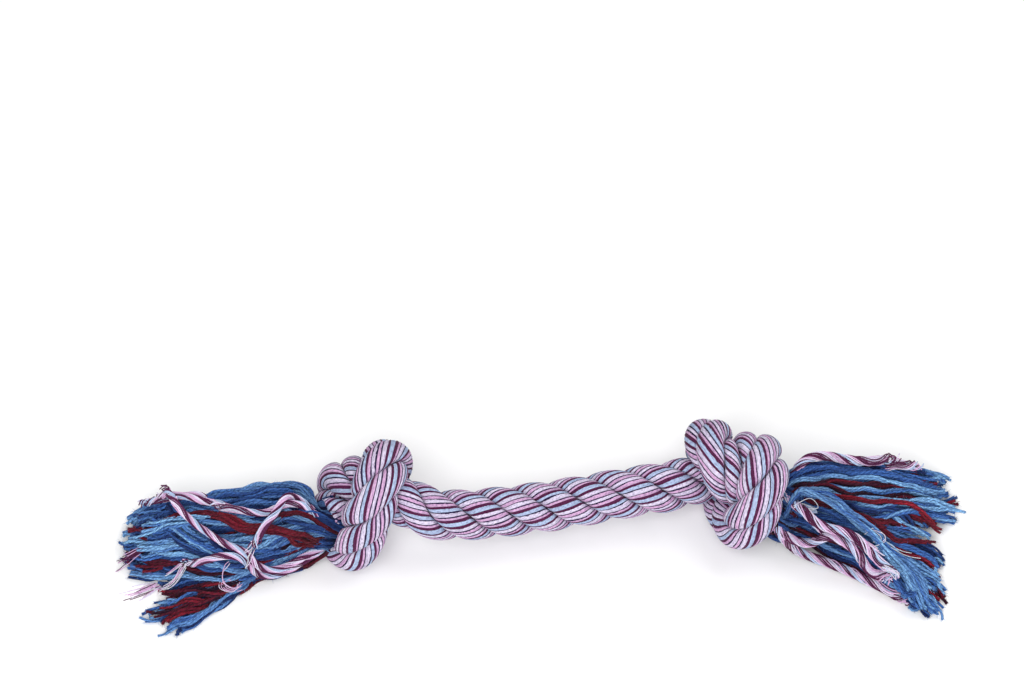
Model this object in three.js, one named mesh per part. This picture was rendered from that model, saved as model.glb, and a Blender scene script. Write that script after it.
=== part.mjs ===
// Rope dog toy: a three-strand laid cotton rope with a tight overhand knot near each end.
// Past the knots the strands are unlaid, and their core yarns and cover cords hang loose as two tassels.
// Millimetres, +Z up. The toy lies along X on the plane Z = 0, under its own weight.
import * as THREE from "three";

// Rope
const ROPE_DIAMETER = 22; // over the strands
const STRAND_COUNT = 3;
const LAY_LENGTH = 52; // along the rope, for one turn of a strand
const GROOVE_SHARE = 0.62; // radius in the groove between two strands, as a share of the rope's radius
const LOBE_POINTS = 7; // points round the outside of a strand
const STEPS_PER_TURN = 16; // sections of a strand in each turn of the lay

// Clearances
const STRAND_CLEARANCE = 0.4; // between two strands laid together
const PASS_CLEARANCE = 0.7; // between two passes of rope in a knot, or two bundles in a tassel
const CUT_CLEARANCE = 0.3; // along the rope, between one stretch and the next

// Knots
const KNOT_SPACING = 163; // between the knots' centres
const MIDDLE_SAG = 2; // how far the rope droops between the knots
const REST_FLAT = ROPE_DIAMETER / 8; // how deep a knot is pressed flat where it lies
const BEND_SHARE = 0.85; // share of the bend's radius that the rope fills on its inner side
const CONTACT_ARC = 1.2; // rope diameters along the rope, past which two places are neighbours

// Half of a tight overhand knot in rope diameters, from its middle to where the rope comes out.
// The other half is the same, turned half a turn about Y.
const KNOT_HALF = [
  [0, 0.5, 0],
  [-0.25, 0.4, 0.7],
  [-0.48, -0.18, 0.93],
  [-0.57, -0.72, 0.55],
  [-0.38, -0.77, -0.08],
  [0.04, -0.36, -0.36],
  [0.62, -0.07, -0.23],
];
const KNOT_SIZE = { left: 0.93, right: 1.01 }; // the left knot is drawn tighter
const KNOT_EXIT = [0.98, -0.02, -0.18]; // rope diameters, where the strands open into the tassel
const KNOT_NECK = [1.35, 0, -0.1]; // rope diameters, on the side of the rope's middle
const KNOT_TAIL = [2, 0, 0];
const TAIL_SHIFT = { left: [0, -0.26, -0.12], right: [0, 0.06, 0.06] }; // rope diameters, as it lies
const EXIT_SHIFT = { left: [0, -0.2, -0.12], right: [0, -0.4, -0.28] }; // rope diameters, as it lies
const KNOT_ROLL = { left: 166, right: 246 }; // degrees about the rope
const KNOT_YAW = { left: 0, right: -11 }; // degrees about the upright

// Tassels
const TASSEL_LENGTH = { left: 87, right: 72 };
const TASSEL_YAW = { left: -11, right: 4 }; // degrees that a tassel leans to the front
const TASSEL_WIDTH = { left: 60, right: 66 }; // over the tips
const TASSEL_SWELL = 0.9; // the lower, the sooner a tassel opens to its full width
const TIP_HEIGHT = 11; // of the tassel's axis at the tips, above the ground
const TIP_TOP_LIFT = 4; // how much higher the top bunch ends
const TASSEL_STEPS = 9;
const BUNDLE_POINTS = 8;
const GROUND_CLEARANCE = 0.2; // below the bundles

// The bundles of one strand end: where each lies in its bunch, how far it leans out on an outer
// bunch and how thick it is, as shares of the bunch's half width; its length is a share of the tassel.
const BUNDLES = [
  { name: "blue_yarns_1", across: -0.5, up: -0.35, lean: 0, thick: 0.9, reach: 0.97, colour: 0x6c8fc0 },
  { name: "blue_yarns_2", across: 0.5, up: -0.3, lean: 0, thick: 0.9, reach: 1, colour: 0x6c8fc0 },
  { name: "maroon_yarns", across: 0.05, up: 0.35, lean: 0.2, thick: 0.55, reach: 0.95, colour: 0x6b2748 },
  { name: "cover_cord_1", across: -0.6, up: 0.6, lean: 0.35, thick: 0.4, reach: 0.92, colour: 0xc9bfdc },
  { name: "cover_cord_2", across: 0.65, up: 0.65, lean: 0.35, thick: 0.4, reach: 0.9, colour: 0xc9bfdc },
];
const BUNCHES = ["near", "top", "far"];

// Everything below is worked out from the values above.
const ROPE_RADIUS = ROPE_DIAMETER / 2;
const SIDES = { left: -1, right: 1 };
const UP = new THREE.Vector3(0, 0, 1);
const toy = new THREE.Group();
toy.name = "rope_dog_toy";

// A knot's centreline, in order along the rope from left to right.
function knotPoints(side) {
  const half = KNOT_HALF.map((p) => new THREE.Vector3(...p).multiplyScalar(KNOT_SIZE[side]));
  const outer = [...half, new THREE.Vector3(...KNOT_EXIT)];
  const inner = [...half, new THREE.Vector3(...KNOT_NECK), new THREE.Vector3(...KNOT_TAIL)];
  const [first, last] = side === "left" ? [outer, inner] : [inner, outer];
  const turn = new THREE.Matrix4().makeRotationY(Math.PI);
  const roll = new THREE.Matrix4().makeRotationX(THREE.MathUtils.degToRad(KNOT_ROLL[side]));
  const before = first.slice(1).map((p) => p.clone().applyMatrix4(turn));
  const points = [...before.reverse(), ...last.map((p) => p.clone())];
  points.forEach((p) => p.applyMatrix4(roll).multiplyScalar(ROPE_DIAMETER));
  const yaw = THREE.MathUtils.degToRad(KNOT_YAW[side]);
  points.slice(...(side === "left" ? [1, -2] : [2, -1])).forEach((p) => p.applyAxisAngle(UP, yaw));
  const lowest = Math.min(...points.map((p) => p.z)) - ROPE_RADIUS;
  const centre = new THREE.Vector3((SIDES[side] * KNOT_SPACING) / 2, 0, -lowest - REST_FLAT);
  points.forEach((p) => p.add(centre));
  const tail = new THREE.Vector3(...TAIL_SHIFT[side]).multiplyScalar(ROPE_DIAMETER);
  points.slice(...(side === "left" ? [-2] : [0, 2])).forEach((p) => p.add(tail));
  const exit = new THREE.Vector3(...EXIT_SHIFT[side]).multiplyScalar(ROPE_DIAMETER);
  points.at(side === "left" ? 0 : -1).add(exit);
  points.at(side === "left" ? 1 : -2).addScaledVector(exit, 0.5);
  return points;
}

const leftKnot = knotPoints("left");
const rightKnot = knotPoints("right");
const middle = leftKnot.at(-1).clone().add(rightKnot[0]).multiplyScalar(0.5);
middle.z -= MIDDLE_SAG;
const route = new THREE.CatmullRomCurve3([...leftKnot, middle, ...rightKnot]);
route.arcLengthDivisions = 2000;
const ropeLength = route.getLength();
const stepCount = Math.round((ropeLength / LAY_LENGTH) * STEPS_PER_TURN);
const stepLength = ropeLength / stepCount;

// Places along the rope, each with its direction, a frame carried along without turning, and its bend.
function ropePlaces() {
  const places = [];
  for (let i = 0; i <= stepCount; i += 1) {
    const point = route.getPointAt(i / stepCount);
    const tangent = route.getTangentAt(i / stepCount);
    const normal = UP.clone();
    if (i > 0) {
      const carry = new THREE.Quaternion().setFromUnitVectors(places[i - 1].tangent, tangent);
      normal.copy(places[i - 1].normal).applyQuaternion(carry);
    }
    normal.addScaledVector(tangent, -normal.dot(tangent)).normalize();
    const binormal = new THREE.Vector3().crossVectors(tangent, normal);
    places.push({ point, tangent, normal, binormal, along: i * stepLength });
  }
  places.forEach((place, i) => {
    const before = places[Math.max(i - 1, 0)];
    const after = places[Math.min(i + 1, stepCount)];
    const turned = after.tangent.clone().sub(before.tangent);
    place.bend = turned.divideScalar(after.along - before.along);
  });
  return places;
}
const places = ropePlaces();

// Turns of the lay from end to end: the count nearest to the lay length that has a strand on top at
// the right end too, as it has at the left end.
const rightEnd = places[stepCount];
const topTurn = Math.atan2(rightEnd.binormal.z, rightEnd.normal.z) / (2 * Math.PI);
const strandTurns = Math.round((ropeLength / LAY_LENGTH - topTurn) * STRAND_COUNT);
const layTurns = strandTurns / STRAND_COUNT + topTurn;

function layAngle(along, strand) {
  return ((along / ropeLength) * layTurns + strand / STRAND_COUNT) * 2 * Math.PI;
}

// How far soft rope or yarn reaches from a centre in one direction: it fills its share of the room
// between itself and each neighbour, and lies flat on the ground.
function room(centre, direction, neighbours, ground) {
  let reach = Infinity;
  for (const other of neighbours) {
    const gap = other.clone().sub(centre);
    const facing = gap.dot(direction);
    if (facing > 0) {
      const distance = gap.length();
      reach = Math.min(reach, ((distance - PASS_CLEARANCE) / 2) * (distance / facing));
    }
  }
  if (direction.z < 0) {
    reach = Math.min(reach, (centre.z - ground) / -direction.z);
  }
  return reach;
}

// One closed body through a row of sections. Its two sides at the sections' first point are split
// alike, so that the facing sides of two strands stay parallel.
function loft(name, colour, sections) {
  const count = sections[0].length;
  const positions = sections.flat().flatMap((p) => p.toArray());
  const index = [];
  for (let i = 0; i + 1 < sections.length; i += 1) {
    for (let j = 0; j < count; j += 1) {
      const k = (j + 1) % count;
      const [a, b] = [i * count + j, i * count + k];
      const [c, d] = [a + count, b + count];
      const [near, next] = [sections[i], sections[i + 1]];
      const towardsFirst = near[j].distanceTo(next[k]) < near[k].distanceTo(next[j]);
      if (k === 0 || (j > 0 && towardsFirst)) {
        index.push(a, b, d, a, d, c);
      } else {
        index.push(a, b, c, b, d, c);
      }
    }
  }
  const last = (sections.length - 1) * count;
  for (let j = 1; j + 1 < count; j += 1) {
    index.push(0, j + 1, j, last, last + j, last + j + 1);
  }
  const geometry = new THREE.BufferGeometry();
  geometry.setAttribute("position", new THREE.Float32BufferAttribute(positions, 3));
  geometry.setIndex(index);
  geometry.computeVertexNormals();
  const mesh = new THREE.Mesh(geometry, new THREE.MeshStandardMaterial({ color: colour, roughness: 0.95 }));
  mesh.name = name;
  toy.add(mesh);
}

// Outline of a strand in the rope's section: a point near the rope's centre, then the rounded lobe.
function lobeOutline() {
  const half = Math.PI / STRAND_COUNT;
  const grooveRadius = GROOVE_SHARE * ROPE_RADIUS;
  const edge = half - STRAND_CLEARANCE / 2 / grooveRadius;
  const outline = [{ turn: 0, radius: STRAND_CLEARANCE / Math.sin(half) }];
  for (let j = 0; j < LOBE_POINTS; j += 1) {
    const share = Math.sin((j / (LOBE_POINTS - 1) - 0.5) * Math.PI);
    const bulge = (1 - GROOVE_SHARE) * Math.sqrt(Math.max(0, 1 - share * share));
    outline.push({ turn: edge * share, radius: ROPE_RADIUS * (GROOVE_SHARE + bulge) });
  }
  return outline;
}
const outline = lobeOutline();

// Section of one strand at one place, pressed by the other passes of rope and by its own bend.
function strandSection(strand, step, shift) {
  const place = places[step];
  const far = CONTACT_ARC * ROPE_DIAMETER;
  const others = places.filter((p) => {
    return Math.abs(p.along - place.along) > far && p.point.distanceTo(place.point) < 2 * ROPE_DIAMETER;
  });
  const neighbours = others.map((p) => p.point);
  const lay = layAngle(place.along, strand);
  return outline.map(({ turn, radius }) => {
    const direction = place.normal.clone().multiplyScalar(Math.cos(lay + turn));
    direction.addScaledVector(place.binormal, Math.sin(lay + turn));
    const inward = Math.max(direction.dot(place.bend), 1e-9);
    const reach = Math.min(radius, room(place.point, direction, neighbours, 0), BEND_SHARE / inward);
    return place.point.clone().addScaledVector(direction, reach).addScaledVector(place.tangent, shift);
  });
}

function nearestStep(point) {
  const distances = places.map((p) => p.point.distanceTo(point));
  return distances.indexOf(Math.min(...distances));
}
const leftNeck = nearestStep(leftKnot.at(-2));
const rightNeck = nearestStep(rightKnot[1]);
const STRETCHES = [
  { name: "left_knot", first: 0, last: leftNeck, colour: 0xb7a9cf },
  { name: "middle", first: leftNeck, last: rightNeck, colour: 0xc3b8da },
  { name: "right_knot", first: rightNeck, last: stepCount, colour: 0xb7a9cf },
];
for (const { name, first, last, colour } of STRETCHES) {
  for (let strand = 0; strand < STRAND_COUNT; strand += 1) {
    const sections = [];
    for (let step = first; step <= last; step += 1) {
      const atStart = step === first && first > 0;
      const atEnd = step === last && last < stepCount;
      const shift = (CUT_CLEARANCE / 2) * (Number(atStart) - Number(atEnd));
      sections.push(strandSection(strand, step, shift));
    }
    loft(`${name}_strand_${strand + 1}`, colour, sections);
  }
}

// A tassel opens from the end of the rope: its strand ends part sideways and sink to the ground.
function addTassel(side) {
  const end = side === "left" ? places[0] : places[stepCount];
  const outward = end.tangent.clone().multiplyScalar(SIDES[side]);
  const length = TASSEL_LENGTH[side];
  const start = end.point.clone().addScaledVector(outward, CUT_CLEARANCE);
  const yaw = THREE.MathUtils.degToRad(-SIDES[side] * TASSEL_YAW[side]);
  const heading = outward.clone().setZ(0).normalize().applyAxisAngle(UP, yaw);
  const tip = start.clone().addScaledVector(heading, length).setZ(TIP_HEIGHT);
  const bendPoint = start.clone().addScaledVector(outward, 0.3 * length);
  const axis = new THREE.QuadraticBezierCurve3(start, bendPoint, tip);

  const frameAt = (share) => {
    const tangent = axis.getTangent(share);
    const across = new THREE.Vector3().crossVectors(UP, tangent).multiplyScalar(SIDES[side]).normalize();
    const up = new THREE.Vector3().crossVectors(tangent, across).multiplyScalar(SIDES[side]).normalize();
    return { point: axis.getPoint(share), tangent, across, up };
  };
  const root = frameAt(0);
  const strandEnds = [];
  for (let strand = 0; strand < STRAND_COUNT; strand += 1) {
    const turn = layAngle(end.along, strand);
    const direction = end.normal.clone().multiplyScalar(Math.cos(turn));
    direction.addScaledVector(end.binormal, Math.sin(turn));
    strandEnds.push({ across: direction.dot(root.across), up: direction.dot(root.up) });
  }
  strandEnds.sort((a, b) => a.across - b.across);

  const passes = places.map((p) => p.point).filter((p) => {
    return p.clone().sub(end.point).dot(outward) > -ROPE_RADIUS && p.distanceTo(end.point) > ROPE_RADIUS;
  });
  const rootRadius = ROPE_RADIUS * 0.52;
  const rootHalf = ROPE_RADIUS * 0.42;
  const tipHalf = TASSEL_WIDTH[side] / 6;
  const bundles = BUNCHES.flatMap((bunch, b) => {
    const from = strandEnds[b];
    const toAcross = ((b - 1) * TASSEL_WIDTH[side]) / 3;
    const toUp = bunch === "top" ? TIP_TOP_LIFT : 0;
    return BUNDLES.map((bundle) => {
      const centreAt = (share) => {
        const opened = share ** TASSEL_SWELL;
        const half = THREE.MathUtils.lerp(rootHalf, tipHalf, opened);
        const frame = frameAt(share);
        const across = THREE.MathUtils.lerp(from.across * rootRadius, toAcross, opened);
        const up = THREE.MathUtils.lerp(from.up * rootRadius, toUp, share);
        const centre = frame.point.clone();
        centre.addScaledVector(frame.across, across + (bundle.across + (b - 1) * bundle.lean) * half);
        centre.addScaledVector(frame.up, up + bundle.up * half);
        return { centre, frame, thick: bundle.thick * half };
      };
      return { ...bundle, name: `${side}_${bunch}_${bundle.name}`, centreAt };
    });
  });

  for (const bundle of bundles) {
    const sections = [];
    for (let step = 0; step <= TASSEL_STEPS; step += 1) {
      const share = (bundle.reach * step) / TASSEL_STEPS;
      const { centre, frame, thick } = bundle.centreAt(share);
      const neighbours = bundles.filter((o) => o !== bundle).map((o) => o.centreAt(share).centre);
      neighbours.push(...passes.filter((p) => p.distanceTo(centre) < ROPE_DIAMETER));
      const section = [];
      for (let j = 0; j < BUNDLE_POINTS; j += 1) {
        const turn = (j / BUNDLE_POINTS) * 2 * Math.PI;
        const direction = frame.across.clone().multiplyScalar(Math.cos(turn));
        direction.addScaledVector(frame.up, Math.sin(turn));
        const reach = Math.min(thick, room(centre, direction, neighbours, GROUND_CLEARANCE));
        section.push(centre.clone().addScaledVector(direction, reach));
      }
      sections.push(side === "left" ? section.reverse() : section);
    }
    loft(bundle.name, bundle.colour, sections);
  }
}
addTassel("left");
addTassel("right");

// The part's own frame: the middle of its box, on the ground.
const box = new THREE.Box3().setFromObject(toy);
const shift = new THREE.Vector3(-(box.min.x + box.max.x) / 2, -(box.min.y + box.max.y) / 2, -box.min.z);
toy.children.forEach((mesh) => mesh.geometry.translate(shift.x, shift.y, shift.z));

export default toy;
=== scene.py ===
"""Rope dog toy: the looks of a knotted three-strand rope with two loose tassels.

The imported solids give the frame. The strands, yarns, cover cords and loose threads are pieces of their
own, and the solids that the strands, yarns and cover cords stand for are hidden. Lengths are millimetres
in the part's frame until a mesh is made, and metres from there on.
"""

import math
from functools import lru_cache

import bpy
import numpy as np
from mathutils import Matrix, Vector
from mathutils.kdtree import KDTree


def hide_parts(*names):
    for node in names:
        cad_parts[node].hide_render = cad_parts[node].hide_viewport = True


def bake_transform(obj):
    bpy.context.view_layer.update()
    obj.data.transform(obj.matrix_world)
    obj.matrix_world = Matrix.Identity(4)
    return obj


bl_info = {
    "name": "Rope dog toy",
    "version": (1, 0, 0),
    "blender": (4, 5, 0),
    "location": "3D View > Sidebar > Rope toy",
    "description": "Builds the strands, tassels and stage of a knotted rope toy on its packed solids",
    "category": "Object",
}

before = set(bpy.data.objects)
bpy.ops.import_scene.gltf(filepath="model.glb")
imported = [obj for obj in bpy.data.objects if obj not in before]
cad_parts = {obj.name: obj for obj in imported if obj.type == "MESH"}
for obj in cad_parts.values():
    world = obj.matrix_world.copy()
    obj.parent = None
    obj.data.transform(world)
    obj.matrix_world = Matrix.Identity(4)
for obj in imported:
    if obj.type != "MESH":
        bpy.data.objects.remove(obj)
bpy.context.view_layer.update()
MM = 0.001
TURN = 2 * math.pi
UP = (0.0, 0.0, 1.0)
WHITE = (1.0, 1.0, 1.0)
TINY = 1e-6  # in place of zero, where something is divided by it
BOUNDLESS = 1e6

# The rope's route, as the solids have it, in millimetres unless another unit is given.
ROPE_DIAMETER = 22.0
ROPE_RADIUS = ROPE_DIAMETER / 2
STRANDS = 3
LAY_LENGTH = 52.0  # along the rope, for one turn of a strand
GROOVE_SHARE = 0.62  # radius in the groove between two strands, as a share of the rope's radius
STRAND_CLEARANCE = 0.4  # between two strands laid together
PASS_CLEARANCE = 0.7  # between two passes of rope in a knot
FLOOR_CLEARANCE = 0.3  # below the rope
CUT_CLEARANCE = 0.3  # along the rope, between its end and a tassel
KNOT_SPACING = 163.0  # between the knots' centres
MIDDLE_SAG = 2.0  # how far the rope droops between the knots
REST_FLAT = ROPE_DIAMETER / 8  # how deep a knot is pressed flat where it lies
BEND_SHARE = 0.85  # share of the bend's radius that the rope fills on its inner side
CONTACT_ARC = 1.2  # rope diameters along the rope, past which two places are neighbours
# Half of a tight overhand knot in rope diameters, from its middle to where the rope comes out.
# The other half is the same, turned half a turn about Y.
KNOT_HALF = [
    (0, 0.5, 0),
    (-0.25, 0.4, 0.7),
    (-0.48, -0.18, 0.93),
    (-0.57, -0.72, 0.55),
    (-0.38, -0.77, -0.08),
    (0.04, -0.36, -0.36),
    (0.62, -0.07, -0.23),
]
KNOT_SIZE = {"left": 0.93, "right": 1.01}  # the left knot is drawn tighter
KNOT_EXIT = (0.98, -0.02, -0.18)  # rope diameters, where the strands open into the tassel
KNOT_NECK = (1.35, 0, -0.1)  # rope diameters, on the side of the rope's middle
KNOT_TAIL = (2, 0, 0)  # rope diameters
TAIL_SHIFT = {"left": (0, -0.26, -0.12), "right": (0, 0.06, 0.06)}  # rope diameters, as it lies
EXIT_SHIFT = {"left": (0, -0.2, -0.12), "right": (0, -0.4, -0.28)}  # rope diameters, as it lies
KNOT_ROLL = {"left": 166, "right": 246}  # degrees about the rope
KNOT_YAW = {"left": 0, "right": -11}  # degrees about the upright
PART_SHIFT = np.array((4.27, 14.37, 0.0))  # added to a place in the solids' source, gives it in the frame
SIDES = {"left": -1, "right": 1}
BUNCHES = ("near", "top", "far")

# The strands' faces.
LOBE_POINTS = 121  # round the outside of a strand
FLANK_POINTS = 30  # down each of its flat sides
PRESS = 10.0  # how sharply a strand goes over into the flat where it is pressed
RIDGE_GROWTH = (0.5, 0.7)  # shares of the rope's radius between which the cover cords come to stand out
FULL_RIDGE = 1.2  # width, in the measure of the stripes, from which a cover cord stands out in full
STRAND_LOWEST = 0.05  # millimetres above the floor

# The tubes of the yarns and threads.
TUBE_SIDES = 5
CAP_RISE = 0.4  # of a tube's end, as a share of its radius
FUZZ_RADIUS = 0.055  # millimetres
FUZZ_ALONG = 36  # fibres along a yarn
FUZZ_AT_END = 7  # fibres out of its cut end
FUZZ_LOWEST = 0.15  # millimetres above the floor

# How yarns and cords leave the rope and come to rest, in millimetres unless another unit is given.
STRAND_END_OUT = 0.52  # middle of a strand's end, as a share of the rope's radius
STRAND_END_SPREAD = 0.46  # of the yarns about that middle, as a share of the rope's radius
ROOT_PLACES = (11.0, 7.5, 4.0, 0.0)  # back from the rope's end, where a yarn's way in it is set
LOCK_FLATNESS = 0.7  # height of a lock as a share of its width
GOLDEN_TURN = 2.39996  # radians from one place to the next in a round that is evenly filled
SETTLE_POINTS = 46  # along a line that settles
HELD_POINTS = 5  # of these, from the root, that the rope holds
SETTLE_ROUNDS = 84
PAIR_ROUNDS = 7  # between two searches for points that are close
PAIR_REACH = 3.2  # within which two points are close
FIRST_FALL = 0.2  # in the first round, and less in each that follows
CLOSEST = 1e-3  # that two points are taken to be
GIVE = 0.3  # share of an overlap that is mended in a round
LARGEST_MOVE = 0.8  # of a point in a round
STIFFNESS = 0.15  # share of a bend that is straightened in a round
FLOOR_PRESS = 0.9  # share of its radius at which the middle of a settled group lies above the floor
PLAN_STEP = 1.5  # between two points of a plan that is laid on the pile
YARN_SINK = 0.85  # share of its full height at which a group of yarns or a thread lies on what is under it
CORD_SINK = 0.95  # the same for a cord
CORD_EASING = 45  # rounds in which a cord's bends are eased
LINE_STEP = 1.1  # between two points of a cord
RINGS = 66  # points along a group of yarns
ROOT_RINGS = 6  # of these, from the root, that nothing lies on
CORD_ROOT = 8  # points of a cord, from its root, that nothing lies on
YARNS_IN_GROUP = 3
YARN_SHARE = 0.53  # radius of a yarn, as a share of its group's
YARN_OUT = 0.55  # from the middle of a group to that of a yarn, as a share of the group's radius
ROOT_GIRTH = 0.6  # thickness of a group in the rope, as a share of its full thickness
SWELL_START = 9.0  # along a group, where it begins to swell
SWELL_GROWTH = 22.0  # until it is full
CRIMP_START = 12.0  # along a yarn, where its waves begin
CRIMP_GROWTH = 25.0  # until they are full
PARTING = 30.0  # along a group to its end, where its yarns part
FLOOR_GAP = 0.1  # below yarns and threads
CORD_GIRTH = {"left": 1.0, "right": 1.3}  # share of the cords' thickness that those of a tassel have

# The tones of the yarns, from 0 to 1.
TONE_SHAPE = 1.6  # the higher, the fewer groups are very dark or very light
MAROON_TONES = 0.65  # share of the tones that maroon groups have
TONE_STRAY = 0.16  # of a yarn from its group
FUZZ_TONE = 0.25  # by which the fuzz is lighter than its yarn, and its stray

# The tones of the threads, each of which stands for a colour of the cover.
LILAC = 0.1
BLUE = 0.45
PINK = 0.65
MAROON = 0.85
PALE = 0.97

# The threads of a cover cord: share of its radius at which a layer lies, and threads in that layer.
CORD_LAYERS = {0.2: 6, 0.52: 10, 0.86: 14}
# The tones of its outer layer, in their order round it.
CORD_BANDS = [LILAC, *[MAROON] * 4, PINK, LILAC, BLUE, BLUE, MAROON, MAROON, PINK, PINK, LILAC]
CORD_TWIST = 22.0  # millimetres for one turn of a thread
CORD_FRAY = 16.0  # millimetres to the end of a cord, where its threads open
FRAY_UNTWIST = 0.4  # share of the twist that is lost there
FRAY_SPREAD = 0.6  # millimetres by which the threads come to stand out there
FRAY_LIMIT = 1.35  # of that, as a share of the cord's radius
FRAY_POINTS = 8  # of a cord's line by which a thread may end early
LOOSE_THREAD_SHARE = 0.34  # radius of a loose thread, as a share of its thickness in a cord

# The floor and lamps, in metres. A lamp has its place and its share of the key light's power.
FLOOR_SIZE = 8.0
FLOOR_FADE = (0.25, 0.55)  # from the middle, where the floor begins and ends to turn white
LAMPS = {"key_lamp": ((-0.3, -1.1, 1.3), 1.0), "side_lamp": ((0.8, 0.3, 1.4), 0.4)}
LAMP_SIZE = 1.2

# The photograph that the camera repeats.
PHOTO_WIDTH = 1024  # picture points
PHOTO_POINT = 0.4365  # millimetres at the toy for one picture point
MIDDLE_RIGHT = 30.26  # picture points from the picture's middle to the toy's, to the right
MIDDLE_DOWN = 182.0  # picture points, down
MIDDLE_HEIGHT = 28.0  # millimetres above the floor
SENSOR_WIDTH = 36.0  # millimetres

# The cover cords of half a strand in their order round it: finish and width.
COVER_STRIPES = [
    ("maroon", 2.2), ("blue", 2.8), ("maroon", 1.7), ("lilac", 2.5), ("line", 0.9), ("pink", 2.0),
    ("line", 0.8), ("lilac", 2.2), ("line", 1.0), ("pink", 1.7), ("maroon", 1.9), ("blue", 2.1),
    ("line", 0.9), ("lilac", 2.6), ("line", 0.8), ("pink", 1.5),
]
STRIPE_STEP = 0.5  # width of one face in the same measure

# Locks of core yarns in a tassel: bunch, groups of yarns, one in how many is maroon, half widths past the
# knot, at the middle and at the tips, and the way from the knot to the tips.
LOCKS = [
    ("left_far", 22, 8, (3, 4, 4.5), [(-105, 23, 28), (-113, 25, 27), (-123, 25, 25), (-139, 25, 21),
        (-155, 27, 17), (-171, 29, 14), (-181, 27, 11)]),
    ("left_far", 18, 6, (3, 4, 5), [(-105, 18, 28), (-113, 19, 26), (-123, 19, 24), (-139, 21, 21),
        (-155, 23, 17), (-178, 25, 13)]),
    ("left_top", 15, 7, (3, 4, 5), [(-106, 7, 29), (-120, 10, 27), (-136, 15, 24), (-151, 20, 20),
        (-180, 22, 15)]),
    ("left_top", 17, 7, (3, 4.5, 5.5), [(-106, 3, 27), (-115, 2, 25), (-124, 4, 23), (-140, 10, 20),
        (-156, 16, 16), (-182, 20, 12)]),
    ("left_top", 14, 6, (3, 4, 5.5), [(-106, 0, 24), (-115, 0, 21), (-128, 2, 18), (-144, 8, 16),
        (-158, 13, 13), (-182, 15, 9)]),
    ("left_top", 8, 0, (2, 2.5, 4), [(-106, -3, 20), (-114, -6, 18), (-122, -8, 17), (-130, -7, 19),
        (-138, -1, 21), (-150, 10, 21), (-161, 21, 19), (-170, 27, 16)]),
    ("left_near", 12, 6, (2, 3, 5.5), [(-106, -1, 16), (-114, -4, 14), (-123, -5, 13), (-141, 1, 14),
        (-158, 10, 13), (-173, 18, 11), (-182, 25, 8)]),
    ("left_near", 10, 5, (2, 3, 5), [(-106, 1, 13), (-114, -2, 11), (-124, -4, 10), (-141, 0, 11),
        (-158, 5, 10), (-172, 10, 8), (-185, 13, 6)]),
    ("left_near", 6, 0, (2, 3, 4.5), [(-106, 2, 11), (-114, -1, 9), (-125, -3, 8), (-141, -4, 9),
        (-156, -2, 8), (-172, -1, 6)]),
    ("left_near", 5, 1, (2, 2.5, 3.5), [(-106, 3, 9), (-113, 0, 7), (-125, -3, 6), (-138, -8, 7),
        (-154, -9, 6), (-172, -7, 5)]),
    ("left_near", 8, 3, (2, 2.5, 4), [(-106, 4, 8), (-113, 1, 6), (-126, -3, 5), (-140, -9, 5),
        (-157, -14, 5), (-179, -17, 4)]),
    ("left_near", 9, 6, (2, 2.5, 5), [(-106, 5, 6), (-113, 2, 4), (-126, -3, 4), (-142, -11, 4),
        (-156, -19, 4), (-172, -26, 3)]),
    ("right_far", 24, 7, (3, 4.5, 5), [(113, 13, 28), (122, 15, 28), (136, 19, 25), (152, 20, 21),
        (168, 19, 16), (185, 19, 11)]),
    ("right_far", 12, 2, (2.5, 3, 4), [(113, 10, 27), (122, 9, 26), (133, 8, 25), (146, 12, 22),
        (162, 16, 17), (183, 16, 11)]),
    ("right_top", 13, 8, (2.5, 3.2, 4), [(113, 6, 26), (124, 3, 23), (140, -1, 21), (156, 2, 20),
        (172, 6, 15), (185, 5, 11)]),
    ("right_top", 12, 4, (2.5, 4, 3.5), [(113, 5, 26), (124, 1, 24), (140, -4, 22), (154, -2, 19),
        (162, -4, 16), (167, -7, 13)]),
    ("right_top", 15, 4, (3, 4, 5.5), [(113, 5, 23), (124, 2, 20), (140, -3, 17), (155, -9, 13),
        (165, -14, 10), (174, -23, 7)]),
    ("right_near", 10, 0, (2.5, 3, 4), [(113, 4, 24), (120, 2, 22), (129, -3, 20), (140, -10, 17),
        (150, -18, 13), (157, -27, 10), (161, -36, 6), (162, -47, 4)]),
    ("right_near", 15, 5, (2.5, 3.5, 5), [(113, 3, 18), (121, 2, 15), (132, -2, 12), (146, -11, 10),
        (159, -21, 7), (171, -34, 5)]),
    ("right_near", 14, 4, (2.5, 3, 4.5), [(112, 3, 14), (121, 0, 11), (130, -2, 9), (144, -12, 7),
        (157, -25, 6), (170, -39, 4)]),
    ("right_near", 9, 3, (2, 2.5, 3.5), [(112, 2, 10), (121, -1, 8), (130, -6, 6), (140, -14, 5),
        (153, -25, 4), (166, -38, 3)]),
]
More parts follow.
